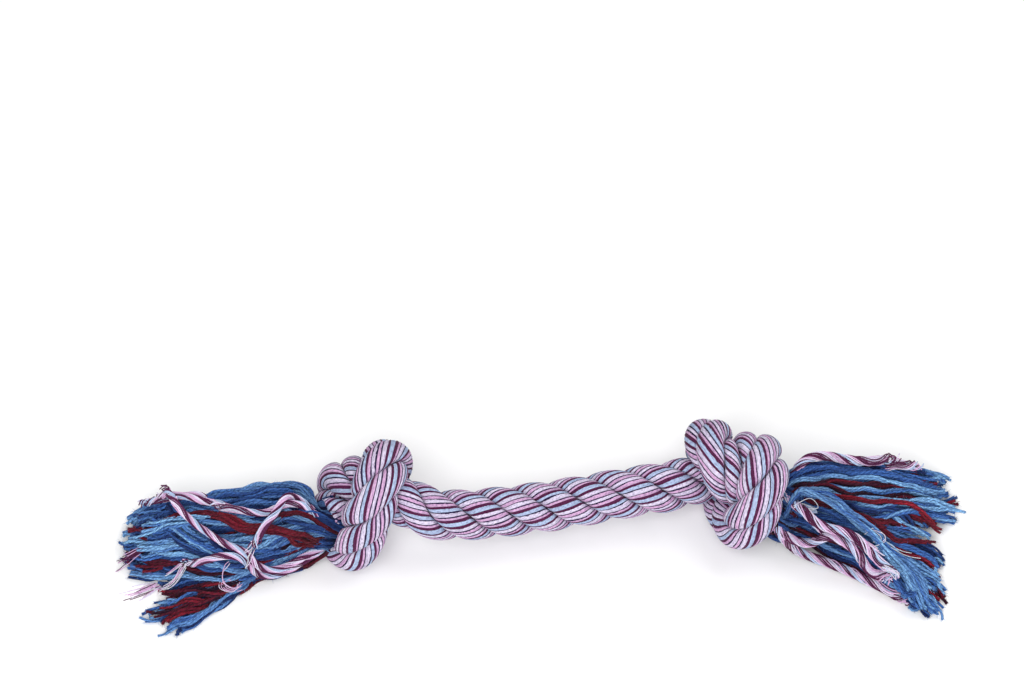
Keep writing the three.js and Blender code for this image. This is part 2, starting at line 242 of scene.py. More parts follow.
# Cover cords of a tassel, each from the knot to its end: places among the yarns, then the plan over them.
CORD_PLANS = {
    "left_far_cover_cord_2": [(-108, 23, 19), (-120, 27, 15), (-133, 28.5, 13), (-141, 28.5, 15),
        (-148, 28.5), (-155, 29), (-166.5, 31), (-178, 31.5)],
    "left_far_cover_cord_1": [(-108, 19, 22), (-120, 21, 19), (-131, 22, 17), (-139, 21.5), (-149, 25),
        (-159.5, 28.5), (-168, 31.5)],
    "left_near_cover_cord_2": [(-103.5, 1, 11), (-108.5, -1, 8), (-116, -3.5, 6), (-124.5, -4, 6),
        (-134, -5), (-144.5, -2.5), (-153, -1), (-159.5, 1.5)],
    "left_near_cover_cord_1": [(-103.5, 0.5, 15), (-109, -2.5, 13), (-116.5, -5, 11), (-123, -5.5, 13),
        (-129, -4.5), (-139, 1.5), (-148, 10), (-155.5, 18.5), (-160.5, 25.5), (-165, 33)],
    "left_top_cover_cord_2": [(-103, 13), (-107.5, 13), (-114, 10), (-120, 9.5), (-127, 13), (-136.5, 17),
        (-144, 19)],
    "left_top_cover_cord_1": [(-103, 19.5), (-108, 17), (-112.5, 11), (-117, 4), (-121.5, -0.5),
        (-127, -5)],
    "right_far_cover_cord_2": [(114, 11, 22), (126, 16, 20), (138, 19, 17), (150, 21, 15), (158, 22.5),
        (166, 23), (174.5, 22.5)],
    "right_far_cover_cord_1": [(114.5, 16.5), (122.5, 21.5), (131, 22), (140.5, 20.5), (151, 22),
        (162, 23.5)],
    "right_top_cover_cord_2": [(114, -5.5), (119, -9.5), (125, -12.5), (132, -15.5), (142.5, -20.5)],
    "right_near_cover_cord_2": [(110.5, -9.5, 7), (115, -10.5, 5), (127, -16.5, 4), (139, -24, 3.5),
        (151, -32.5, 3), (159, -39, 2.5)],
    "right_near_cover_cord_1": [(110, -10, 14), (117.5, -11.5, 13), (127, -16.5), (137, -23), (146, -29.5),
        (152, -33.5)],
    "right_top_cover_cord_1": [(110, -7.5), (114, -7.5), (116.5, -10.5), (118.5, -13), (127, -15.5),
        (136, -19), (143.5, -23), (148, -28.5), (152.5, -34.5)],
}
# Groups of yarns that lie on top of a tassel: bunch that they lie on, strand that they come from, finish,
# tone and plan.
TOP_YARNS = [
    ("left_top", "near", "maroon", 0.75, [(-104.5, -1), (-116.5, 1), (-127, 4.5), (-137, 11),
        (-147.5, 19.5)]),
    ("left_top", "near", "maroon", 0.5, [(-104.5, -1.5), (-116.5, 0), (-126, 3), (-136, 8.5), (-146, 18)]),
    ("left_top", "near", "maroon", 0.9, [(-104.5, -0.5), (-116.5, 1.5), (-126.5, 6), (-136.5, 12),
        (-144, 18.5)]),
    ("left_top", "near", "maroon", 0.6, [(-104, -1.5), (-115, 0), (-124.5, 2), (-134.5, 7.5),
        (-141.5, 13.5)]),
    ("left_top", "top", "maroon", 0.55, [(-103, 7.5), (-108, 7.5), (-113.5, 6.5), (-118, 6)]),
    ("right_top", "top", "maroon", 0.85, [(124, 3), (138, 1.5), (149.5, 3), (159, 3), (173.5, -1.5),
        (180.5, -5)]),
    ("right_top", "top", "maroon", 0.6, [(124, -0.5), (134, -4.5), (144.5, -8), (154, -8)]),
    ("right_top", "top", "maroon", 0.5, [(109.5, 5.5), (126, -2.5), (142.5, -9.5), (159, -12.5),
        (176, -9)]),
    ("right_near", "near", "blue", 0.8, [(110.5, 3), (119.5, -0.5), (133, -7), (148, -17), (157.5, -29),
        (160.5, -38), (162, -47)]),
    ("right_near", "near", "blue", 0.92, [(110.5, 3), (119.5, -1), (133, -8.5), (147, -18.5), (155, -29),
        (158.5, -36.5), (161, -44.5)]),
    ("right_near", "near", "blue", 0.7, [(110.5, 3.5), (119.5, 0.5), (134, -6), (149, -15.5), (160, -28),
        (164.5, -37), (165, -44)]),
    ("right_near", "near", "blue", 0.86, [(110.5, 3), (119.5, -2), (132.5, -9.5), (147.5, -18),
        (156.5, -28.5), (162.5, -38.5), (166, -45.5)]),
]
# The front edge of each tassel in plan, from the knot out.
FRONT_EDGE = {
    "left": [(104, 1.5), (114, -1), (126, -3.5), (133, -8), (140, -14), (156, -26), (178, -40)],
    "right": [(110, -8), (123, -15), (139, -24.5), (153, -33), (161, -45), (180, -52)],
}
# Tufts of loose thread: bunch, tones, threads, spread and plan of the middle one.
LOOSE_THREADS = [
    ("left_near", (LILAC, PINK, MAROON, PINK), 20, 5.0, [(-169.5, -1.5), (-175, -3), (-181, -5)]),
    ("left_near", (MAROON, MAROON, PINK), 14, 3.5, [(-174, 10.5), (-179, 10.5), (-185.5, 9.5)]),
    ("left_near", (PALE, LILAC, PINK), 8, 2.2, [(-157, -0.5), (-163, -3.5), (-170, -6)]),
    ("left_near", (PALE, PINK), 4, 1.6, [(-158, 1), (-163, 0), (-167, -1)]),
    ("left_near", (PINK, PINK, LILAC), 6, 1.2, [(-132.5, -8), (-136, -10.5), (-140.5, -9.5), (-140, -7),
        (-136.5, -6.8)]),
    ("left_top", (LILAC, MAROON, PALE), 7, 1.4, [(-124, -2.5), (-127, -5.5), (-130.5, -7)]),
    ("right_top", (PALE, PALE, LILAC), 3, 1.6, [(141, -14), (145, -11.5), (149, -13.5), (148, -17),
        (144, -17.5)]),
    ("right_top", (PALE, PALE), 2, 2.0, [(148, -15), (156, -18.5), (166, -19.5)]),
    ("right_top", (BLUE, BLUE, PALE), 9, 1.0, [(110, -4), (113.5, -2.5), (117.5, -3.5), (119.5, -6),
        (116, -7), (112.5, -6.5)]),
    ("right_near", (PALE, LILAC, PINK), 8, 2.0, [(139, -19), (143.5, -21.5), (147, -24.5)]),
    ("right_near", (PALE, BLUE, LILAC), 9, 2.0, [(147, -30), (150.5, -32), (153, -36)]),
]


def linear(red, green, blue):
    """A colour as it is seen on a screen, 0 to 255, in the linear values that a material takes."""
    seen = np.array((red, green, blue)) / 255
    made = np.where(seen <= 0.04045, seen / 12.92, ((seen + 0.055) / 1.055) ** 2.4)
    return tuple(float(value) for value in made)


def colour_property(name, description, seen):
    return bpy.props.FloatVectorProperty(
        name=name, description=description, subtype="COLOR", size=3, min=0, max=1, default=linear(*seen)
    )


def length_property(name, description, metres):
    return bpy.props.FloatProperty(name=name, description=description, default=metres, unit="LENGTH")


def angle_property(name, description, degrees):
    return bpy.props.FloatProperty(
        name=name, description=description, default=math.radians(degrees), subtype="ANGLE"
    )


class RopeToyStrands(bpy.types.PropertyGroup):
    """Sizes and colours of the laid strands."""

    ring_step: length_property("Ring step", "Distance between two rings of a strand", 0.0009)
    ridge: length_property("Cord ridge", "How far a cover cord stands out of its strand", 0.0003)
    cover_turns: bpy.props.FloatProperty(
        name="Cover turns", description="Turns of the cover cords round their strand per turn of the lay",
        default=2.1,
    )
    cut: length_property("Cut", "Where a strand ends, before the yarns come out", 0.0065)
    lilac: colour_property("Lilac", "Colour of the lilac cover cords", (242, 232, 253))
    blue: colour_property("Pale blue", "Colour of the pale blue cover cords", (196, 216, 246))
    pink: colour_property("Pink", "Colour of the pink cover cords", (234, 190, 228))
    maroon: colour_property("Maroon", "Colour of the maroon cover cords", (94, 38, 76))
    line: colour_property("Fine line", "Colour of the fine dark cords between the others", (54, 40, 76))


class RopeToyTassels(bpy.types.PropertyGroup):
    """Sizes and colours of the loose yarns, cords and threads."""

    yarn_diameter: length_property("Yarn diameter", "Thickness of a group of three core yarns", 0.0024)
    cord_diameter: length_property("Cover cord diameter", "Thickness of a loose cover cord", 0.0037)
    thread_diameter: length_property("Thread diameter", "Thickness of one thread of a cover cord", 0.00054)
    fuzz: length_property("Fuzz", "Length of the fibres that stand out of a yarn", 0.0026)
    yarn_dark: colour_property("Dark blue", "Darkest of the core yarns", (30, 44, 94))
    yarn_mid: colour_property("Blue", "Usual core yarn", (71, 115, 187))
    yarn_light: colour_property("Light blue", "Lightest of the core yarns", (137, 188, 234))
    red_dark: colour_property("Dark maroon", "Darkest of the maroon yarns", (38, 20, 40))
    red_light: colour_property("Maroon red", "Lightest of the maroon yarns", (150, 36, 52))


class RopeToyStage(bpy.types.PropertyGroup):
    """Floor, light and camera."""

    floor: colour_property("Floor", "Colour of the floor", (250, 250, 250))
    key: bpy.props.FloatProperty(
        name="Key light", description="Power of the large lamp", default=25.5, unit="POWER"
    )
    fill: bpy.props.FloatProperty(
        name="Fill", description="Strength of the light from all round", default=0.46
    )
    elevation: angle_property("Elevation", "Camera's angle above the floor", 52.6)
    azimuth: angle_property("Azimuth", "Camera's turn about the toy", -4.7)
    distance: length_property("Distance", "Camera's distance from the toy", 1.9)


# Lines and frames


def unit(vectors):
    return vectors / np.maximum(np.linalg.norm(vectors, axis=-1, keepdims=True), TINY)


def run(lines):
    """How far along its line each point is. Works on one line or many at once."""
    along = np.zeros(lines.shape[:-1])
    along[..., 1:] = np.cumsum(np.linalg.norm(np.diff(lines, axis=-2), axis=-1), axis=-1)
    return along


def between(places, known, rows):
    """The rows of values at places that lie between those where they are known."""
    return np.stack([np.interp(places, known, column) for column in rows.T], -1)


def catmull_rom(points, per_span):
    """A centripetal curve through the points, as a fine line."""
    points = [np.asarray(p, float) for p in points]
    ends = [2 * points[0] - points[1], *points, 2 * points[-1] - points[-2]]
    share = np.linspace(0, 1, per_span, endpoint=False)[:, None]
    line = []
    for p0, p1, p2, p3 in zip(ends, ends[1:], ends[2:], ends[3:]):
        d0, d1, d2 = (max(np.linalg.norm(b - a), TINY) ** 0.5 for a, b in ((p0, p1), (p1, p2), (p2, p3)))
        t1 = ((p1 - p0) / d0 - (p2 - p0) / (d0 + d1) + (p2 - p1) / d1) * d1
        t2 = ((p2 - p1) / d1 - (p3 - p1) / (d1 + d2) + (p3 - p2) / d2) * d1
        square = -3 * p1 + 3 * p2 - 2 * t1 - t2
        line.append(p1 + t1 * share + square * share**2 + (2 * p1 - 2 * p2 + t1 + t2) * share**3)
    return np.vstack([*line, points[-1][None]])


def spaced(line, count):
    """The same line with its points evenly apart."""
    along = run(line)
    return between(np.linspace(0, along[-1], count), along, line)


def smooth_line(points, step):
    fine = catmull_rom(points, 24)
    return spaced(fine, max(4, int(round(run(fine)[-1] / step)) + 1))


def carried(tangents, normal):
    """Normals along lines, carried on without turning about them. Works on one line or many at once."""
    normals = np.empty_like(tangents)
    for i in range(tangents.shape[-2]):
        tangent = tangents[..., i, :]
        normal = unit(normal - (normal * tangent).sum(-1, keepdims=True) * tangent)
        normals[..., i, :] = normal
    return normals


def frames_of(lines, normal=(0.1, 0.2, 1.0)):
    """Tangents, normals and binormals along lines. The first normal is near the one that is given."""
    tangents = unit(np.gradient(lines, axis=-2))
    normals = carried(tangents, np.broadcast_to(np.array(normal), tangents[..., 0, :].shape))
    return tangents, normals, np.cross(tangents, normals)


def ways_round(normal, binormal, turn):
    """Directions away from a line, each at a turn from its normal towards its binormal."""
    return normal * np.cos(turn)[..., None] + binormal * np.sin(turn)[..., None]


# The rope


def turned_about(points, axis, degrees):
    """Points turned about the X axis, 0, or the Z axis, 2."""
    one, two = (axis + 1) % 3, (axis + 2) % 3
    turn = math.radians(degrees)
    made = points.copy()
    made[:, one] = points[:, one] * math.cos(turn) - points[:, two] * math.sin(turn)
    made[:, two] = points[:, one] * math.sin(turn) + points[:, two] * math.cos(turn)
    return made


def knot_points(side):
    """A knot's centreline, in order along the rope from left to right."""
    half = [np.array(p, float) * KNOT_SIZE[side] for p in KNOT_HALF]
    outer = [*half, np.array(KNOT_EXIT, float)]
    inner = [*half, np.array(KNOT_NECK, float), np.array(KNOT_TAIL, float)]
    first, last = (outer, inner) if side == "left" else (inner, outer)
    turned = [p * (-1, 1, -1) for p in first[:0:-1]]
    points = turned_about(np.array([*turned, *last]), 0, KNOT_ROLL[side]) * ROPE_DIAMETER
    tail, knot = (slice(-2, None), slice(1, -2)) if side == "left" else (slice(0, 2), slice(2, -1))
    points[knot] = turned_about(points[knot], 2, KNOT_YAW[side])
    lowest = points[:, 2].min() - ROPE_RADIUS
    points += (SIDES[side] * KNOT_SPACING / 2, 0, -lowest - REST_FLAT)
    points[tail] += np.array(TAIL_SHIFT[side]) * ROPE_DIAMETER
    outermost, next_in = (0, 1) if side == "left" else (-1, -2)
    points[outermost] += np.array(EXIT_SHIFT[side]) * ROPE_DIAMETER
    points[next_in] += np.array(EXIT_SHIFT[side]) * ROPE_DIAMETER / 2
    return points


class Rope:
    """The rope's places in order from left to right: where it is, its frame, its bend and its lay."""

    def __init__(self, step):
        left, right = knot_points("left"), knot_points("right")
        middle = (left[-1] + right[0]) / 2 - (0, 0, MIDDLE_SAG)
        line = catmull_rom([*left, middle, *right], 200) + PART_SHIFT
        self.length = float(run(line)[-1])
        count = int(round(self.length / step)) + 1
        self.point = spaced(line, count)
        self.along = np.linspace(0, self.length, count)
        self.tangent, self.normal, self.binormal = frames_of(self.point, UP)
        self.bend = np.gradient(self.tangent, self.along, axis=0)
        top_turn = math.atan2(self.binormal[-1, 2], self.normal[-1, 2]) / TURN
        self.turns = round((self.length / LAY_LENGTH - top_turn) * STRANDS) / STRANDS + top_turn

    def lay(self, along, strand):
        return (along / self.length * self.turns + strand / STRANDS) * TURN

    def at(self, along):
        """Point, normal and binormal at a distance along the rope."""
        return [between(along, self.along, rows) for rows in (self.point, self.normal, self.binormal)]

    def room(self, place, directions):
        """How far the rope reaches there before another pass, the floor or its own bend stops it."""
        here = self.point[place]
        gaps = self.point - here
        distance = np.linalg.norm(gaps, axis=1)
        others = np.abs(self.along - self.along[place]) > CONTACT_ARC * ROPE_DIAMETER
        others &= distance < 2 * ROPE_DIAMETER
        reach = np.full(len(directions), BOUNDLESS)
        if others.any():
            facing = directions @ gaps[others].T
            limit = (distance[others] - PASS_CLEARANCE) / 2 * distance[others] / np.maximum(facing, TINY)
            reach = np.minimum(reach, np.where(facing > 0, limit, BOUNDLESS).min(1))
        down = np.maximum(-directions[:, 2], TINY)
        reach = np.minimum(reach, (here[2] - FLOOR_CLEARANCE) / down)
        inward = np.maximum(directions @ self.bend[place], TINY)
        return np.minimum(reach, BEND_SHARE / inward)


@lru_cache(maxsize=None)
def rope():
    return Rope(bpy.context.scene.rope_toy_strands.ring_step / MM)


def lobe_outline():
    """Outline of a strand in the rope's section, from its inner edge round and back, closed."""
    half = math.pi / STRANDS
    edge = half - STRAND_CLEARANCE / 2 / (GROOVE_SHARE * ROPE_RADIUS)
    share = np.sin(np.linspace(-0.5, 0.5, LOBE_POINTS) * math.pi)
    radius = ROPE_RADIUS * (GROOVE_SHARE + (1 - GROOVE_SHARE) * np.sqrt(np.maximum(0, 1 - share**2)))
    lobe = np.stack([radius * np.cos(edge * share), radius * np.sin(edge * share)], 1)
    apex = np.array((STRAND_CLEARANCE / math.sin(half), 0.0))
    side = np.linspace(0, 1, FLANK_POINTS, endpoint=False)[:, None]
    there = apex + (lobe[0] - apex) * side
    back = lobe[-1] + (apex - lobe[-1]) * side
    return np.vstack([there, lobe, back[1:], apex[None]])


# Meshes


def tube_faces(rings, sides):
    """Faces of a tube of closed rings whose two poles come last: the ring and side of each quad, the quads,
    and the triangles that close the ends."""
    ring, side = (a.ravel() for a in np.meshgrid(np.arange(rings - 1), np.arange(sides), indexing="ij"))
    here, there = ring * sides + side, ring * sides + (side + 1) % sides
    quads = np.stack([here, there, there + sides, here + sides], 1)
    one = np.arange(sides)
    two = (one + 1) % sides
    last, pole = (rings - 1) * sides, np.full(sides, rings * sides)
    caps = [np.stack([pole, two, one], 1), np.stack([pole + 1, last + one, last + two], 1)]
    return ring, side, quads, np.vstack(caps)


def new_piece(name, vertices, faces, material, uv, tone=None, sharp=None):
    """A mesh object from points in millimetres and groups of faces of one size each."""
    mesh = bpy.data.meshes.new(name)
    mesh.vertices.add(len(vertices))
    mesh.vertices.foreach_set("co", (np.asarray(vertices) * MM).astype(np.float32).ravel())
    corners = np.concatenate([f.ravel() for f in faces]).astype(np.int32)
    sizes = np.concatenate([np.full(len(f), f.shape[1]) for f in faces])
    starts = np.concatenate([[0], np.cumsum(sizes)[:-1]]).astype(np.int32)
    mesh.loops.add(len(corners))
    mesh.loops.foreach_set("vertex_index", corners)
    mesh.polygons.add(len(sizes))
    mesh.polygons.foreach_set("loop_start", starts)
    mesh.update(calc_edges=True)
    mesh.polygons.foreach_set("use_smooth", np.ones(len(sizes), bool))
    layer = mesh.uv_layers.new(name="UVMap")
    places = np.concatenate([u.reshape(-1, 2) for u in uv])
    layer.uv.foreach_set("vector", places.astype(np.float32).ravel())
    if tone is not None:
        attribute = mesh.attributes.new("tone", "FLOAT", "POINT")
        attribute.data.foreach_set("value", np.asarray(tone, np.float32))
    if sharp is not None:
        ends = np.zeros(len(mesh.edges) * 2, np.int32)
        mesh.edges.foreach_get("vertices", ends)
        marked = np.isin(ends.reshape(-1, 2), sharp).all(1)
        mesh.edges.foreach_set("use_edge_sharp", marked)
    if mesh.validate():
        raise RuntimeError(f"{name} has a faulty face")
    mesh.materials.append(material)
    piece = bpy.data.objects.new(name, mesh)
    bpy.context.scene.collection.objects.link(piece)
    return piece


class Tubes:
    """Closed tubes gathered into one mesh, each with the colour tone and the UV map of its yarn."""

    def __init__(self):
        self.vertices, self.quads, self.triangles = [], [], []
        self.quad_uv, self.triangle_uv, self.tone = [], [], []
        self.count = 0

    def add(self, lines, radius, tone):
        """Tubes round lines that all have the same number of points."""
        lines = np.asarray(lines, float)
        many, rings = lines.shape[:2]
        tangent, normal, binormal = frames_of(lines)
        radius = np.broadcast_to(np.asarray(radius, float), (many, rings))[..., None]
        angle = np.arange(TUBE_SIDES) / TUBE_SIDES * TURN
        ways = ways_round(normal[:, :, None], binormal[:, :, None], angle)
        body = lines[:, :, None] + ways * radius[..., None]
        poles = np.stack([lines[:, 0] - tangent[:, 0] * radius[:, 0] * CAP_RISE,
                          lines[:, -1] + tangent[:, -1] * radius[:, -1] * CAP_RISE], 1)
        each = rings * TUBE_SIDES + 2
        self.vertices.append(np.concatenate([body.reshape(many, -1, 3), poles], 1).reshape(-1, 3))
        base = self.count + np.arange(many)[:, None, None] * each
        i, j, quads, caps = tube_faces(rings, TUBE_SIDES)
        self.quads.append((base + quads).reshape(-1, 4))
        self.triangles.append((base + caps).reshape(-1, 3))
        along = run(lines) * MM
        u = np.stack([j, j + 1, j + 1, j], 1) / TUBE_SIDES
        v = along[:, np.stack([i, i, i + 1, i + 1], 1)]
        self.quad_uv.append(np.stack([np.broadcast_to(u, v.shape), v], -1).reshape(-1, 4, 2))
        side = np.arange(TUBE_SIDES)
        u = np.vstack([np.stack([side + 0.5, side + 1, side], 1), np.stack([side + 0.5, side, side + 1], 1)])
        v = np.zeros((many, 2 * TUBE_SIDES, 3))
        v[:, TUBE_SIDES:] = along[:, -1, None, None]
        self.triangle_uv.append(np.stack([np.broadcast_to(u / TUBE_SIDES, v.shape), v], -1).reshape(-1, 3, 2))
        self.tone.append(np.repeat(np.broadcast_to(np.asarray(tone, float), (many,)), each))
        self.count += many * each

    def add_fibres(self, lines, tone):
        """Fine three-sided fibres through three points each, which taper to their tips."""
        many = len(lines)
        _, normal, binormal = frames_of(lines)
        ways = ways_round(normal[:, :2, None], binormal[:, :2, None], np.arange(3) / 3 * TURN)
        body = lines[:, :2, None] + ways * np.array((1.0, 0.8))[:, None, None] * FUZZ_RADIUS
        self.vertices.append(np.concatenate([body.reshape(many, 6, 3), lines[:, 2:]], 1).reshape(-1, 3))
        base = self.count + np.arange(many)[:, None, None] * 7
        quads = np.array(((0, 1, 4, 3), (1, 2, 5, 4), (2, 0, 3, 5)))
        triangles = np.array(((2, 1, 0), (3, 4, 6), (4, 5, 6), (5, 3, 6)))
        self.quads.append((base + quads).reshape(-1, 4))
        self.triangles.append((base + triangles).reshape(-1, 3))
        # The fibres sit 0.08 m along the yarn finish's map, where its painted tip light makes them lighter.
        uv = np.stack([np.arange(many) * 0.618 % 1, np.full(many, 0.08)], 1)
        self.quad_uv.append(np.repeat(uv, quads.size, axis=0))
        self.triangle_uv.append(np.repeat(uv, triangles.size, axis=0))
        self.tone.append(np.repeat(tone, 7))
        self.count += many * 7

    def piece(self, name, material):
        faces = [np.vstack(self.quads), np.vstack(self.triangles)]
        uv = [*self.quad_uv, *self.triangle_uv]
        return new_piece(name, np.vstack(self.vertices), faces, material, uv, np.concatenate(self.tone))


def fuzz_lines(lines, radius, length, seed):
    """Fine fibres that stand out of yarns all along them, and fan out of their cut ends."""
    rng = np.random.default_rng(seed)
    tangent, normal, binormal = frames_of(lines)
    many, rings = lines.shape[:2]
    yarn = np.repeat(np.arange(many), FUZZ_ALONG)
    place = rng.integers(8, rings - 1, len(yarn))
    out = ways_round(normal[yarn, place], binormal[yarn, place], rng.uniform(0, TURN, len(yarn)))
    root = lines[yarn, place] + out * (radius[yarn, place] * 0.9)[:, None]
    way = out * rng.uniform(0.25, 0.8, len(yarn))[:, None]
    way += tangent[yarn, place] * rng.uniform(-0.6, 1, len(yarn))[:, None]
    way = unit(way + rng.normal(0, 0.25, way.shape))
    ends = np.repeat(np.arange(many), FUZZ_AT_END)
    angle = rng.uniform(0, TURN, len(ends))
    share = np.sqrt(rng.uniform(0, 1, len(ends)))[:, None]
    out = ways_round(normal[ends, -1], binormal[ends, -1], angle)
    end_root = lines[ends, -1] - tangent[ends, -1] * 0.6 + out * share * radius[ends, -1][:, None]
    end_way = unit(tangent[ends, -1] + out * share * 0.7 + rng.normal(0, 0.2, out.shape))
    root, way = np.vstack([root, end_root]), np.vstack([way, end_way])
    long = rng.uniform(0.3, 1, len(root))[:, None] * length
    middle = root + way * long * 0.5
    tip = middle + unit(way + rng.normal(0, 0.5, way.shape) - (0, 0, 0.4)) * long * 0.6
    points = np.stack([root, middle, tip], 1)
    points[..., 2] = np.maximum(points[..., 2], FUZZ_LOWEST)
    return points, np.concatenate([yarn, ends])


# The tassels


class Tassel:
    """Where one end of the rope opens: its frame, its strand ends and the way that a yarn leaves them."""

    def __init__(self, side):
        self.sign = SIDES[side]
        cord = rope()
        self.end = 0 if side == "left" else len(cord.along) - 1
        self.outward = cord.tangent[self.end] * self.sign
        self.start = cord.point[self.end] + self.outward * CUT_CLEARANCE
        self.across = unit(np.cross(UP, self.outward) * self.sign)
        self.up = unit(np.cross(self.outward, self.across) * self.sign)
        turns = [cord.lay(cord.along[self.end], strand) for strand in range(STRANDS)]
        ends = [cord.normal[self.end] * math.cos(t) + cord.binormal[self.end] * math.sin(t) for t in turns]
        ends.sort(key=lambda way: way @ self.across)
        self.ends = [np.array((way @ self.across, way @ self.up)) for way in ends]

    def inside(self, bunch, slot):
        """A yarn's places in its strand end, the last where the rope ends. Its slot there is from -1 to 1."""
        cord = rope()
        place = (self.ends[bunch] * STRAND_END_OUT + np.asarray(slot) * STRAND_END_SPREAD) * ROPE_RADIUS
        first = self.across * place[0] + self.up * place[1]
        a, b = first @ cord.normal[self.end], first @ cord.binormal[self.end]
        made = []
        for back in ROOT_PLACES:
            along = cord.along[self.end] - self.sign * back
            here, normal, binormal = cord.at(along)
            turn = cord.lay(along, 0) - cord.lay(cord.along[self.end], 0)
            made.append(here + normal * (a * math.cos(turn) - b * math.sin(turn))
                        + binormal * (a * math.sin(turn) + b * math.cos(turn)))
        return np.array(made)

    def outside(self, way, widths, slot, tip_slot, reach):
        """The rest of a yarn, along its lock's way."""
        way = np.array(way, float)
        way[-1] = way[-2] + (way[-1] - way[-2]) * reach
        share = np.linspace(0, 1, len(way))[:, None]
        across = unit(np.cross(UP, np.gradient(way, axis=0)) * self.sign)
        wide = np.interp(share[:, 0], (0, 0.5, 1), widths)[:, None]
        place = ((1 - share) * np.asarray(slot) + share * np.asarray(tip_slot)) * wide
        return way + across * place[:, :1] + np.array((0, 0, LOCK_FLATNESS)) * place[:, 1:]


def packed_slots(count, first_turn=0.0):
    """Places spread evenly over a round of radius one, from its middle out."""
    number = np.arange(count)
    turn, out = number * GOLDEN_TURN + first_turn, np.sqrt((number + 0.5) / count)
    return np.stack([out * np.cos(turn), out * np.sin(turn)], 1)


def close_pairs(points, owner, reach):
    """Points of different yarns that are near each other."""
    tree = KDTree(len(points))
    for i, point in enumerate(points):
        tree.insert(point, i)
    tree.balance()
    pairs = [(i, j) for i, point in enumerate(points) for _, j, _ in tree.find_range(point, reach)
             if j > i and owner[i] != owner[j]]
    return np.array(pairs).T


def settle(lines, radius, still, edge):
    """Soft yarns come to rest: they part where they press, lie on each other, on the floor and behind the
    front edge, and keep their lengths. The first points of each are held, and the last lines are still."""
    lines, moving, held = lines.copy(), len(lines) - still, HELD_POINTS
    kept = lines[moving:].copy()
    many, rings = lines.shape[:2]
    rest = np.linalg.norm(np.diff(lines, axis=1), axis=2)
    owner, thick = np.repeat(np.arange(many), rings), radius.ravel()
    weight = np.linspace(0, 1, rings - held) ** 1.3
    for turn in range(SETTLE_ROUNDS):
        if turn % PAIR_ROUNDS == 0:
            one, two = close_pairs(lines.reshape(-1, 3), owner, PAIR_REACH)
        lines[:, held:, 2] -= FIRST_FALL * (1 - turn / SETTLE_ROUNDS) * weight
        points = lines.reshape(-1, 3)
        gap = points[one] - points[two]
        apart = np.maximum(np.linalg.norm(gap, axis=1), CLOSEST)
        push = gap * (np.maximum(0, thick[one] + thick[two] - apart) / apart * GIVE)[:, None]
        move = np.stack([np.bincount(one, push[:, n], len(points)) - np.bincount(two, push[:, n], len(points))
                         for n in range(3)], 1).reshape(lines.shape)
        size = np.linalg.norm(move, axis=-1, keepdims=True)
        lines[:, held:] += (move * np.minimum(1, LARGEST_MOVE / np.maximum(size, TINY)))[:, held:]
        middle = (lines[:, :-2] + lines[:, 2:]) / 2
        lines[:, held:-1] += STIFFNESS * (middle - lines[:, 1:-1])[:, held - 1:]
        for k in range(held, rings):
            step = lines[:, k] - lines[:, k - 1]
            lines[:, k] = lines[:, k - 1] + unit(step) * rest[:, k - 1, None]
        lines[..., 2] = np.maximum(lines[..., 2], radius * FLOOR_PRESS)
        front = np.interp(np.abs(lines[..., 0]), *np.transpose(edge)) + radius
        lines[:, held:, 1] = np.maximum(lines[:, held:, 1], front[:, held:])
        lines[moving:] = kept
    return lines[:moving]


def crimped(line, radius, rng):
    """A group's line with the waves that it keeps from the twist of the rope."""
    line = spaced(smooth_line(line, 1.25), RINGS)
    _, normal, binormal = frames_of(line)
    along = np.linspace(0, run(line)[-1], RINGS)
    out = np.clip((along - CRIMP_START) / CRIMP_GROWTH, 0, 1)
    for wave, size in ((rng.uniform(18, 30), 0.6), (rng.uniform(8, 13), 0.16)):
        turn = along / wave * TURN + rng.uniform(0, TURN)
        line = line + ways_round(normal, binormal, turn) * (out * size)[:, None]
    line[:, 2] = np.maximum(line[:, 2], radius * 0.95 + FLOOR_GAP)
    return line


def parted(line, radius, rng):
    """The single yarns of a group: they turn slowly about its line, and part at its end."""
    _, normal, binormal = frames_of(line)
    along = run(line)
    thin = radius * YARN_SHARE
    start, pitch = rng.uniform(0, TURN), rng.uniform(34, 60) * rng.choice((-1, 1))
    loose = np.clip((along - along[-1] + PARTING) / PARTING, 0, 1) ** 2
    made = []
    for i in range(YARNS_IN_GROUP):
        turn = start + i * TURN / YARNS_IN_GROUP + rng.normal(0, 0.2) + along / pitch * TURN
        out = radius * (YARN_OUT + loose * rng.uniform(-0.1, 0.75))
        yarn = line + ways_round(normal, binormal, turn) * out[:, None]
        end = rng.uniform(0.93, 1.0)
        yarn = between(np.linspace(0, end, RINGS), np.linspace(0, 1, RINGS), yarn)
        yarn[:, 2] = np.maximum(yarn[:, 2], thin + FLOOR_GAP)
        made.append((yarn, thin * rng.uniform(0.88, 1.12)))
    return made


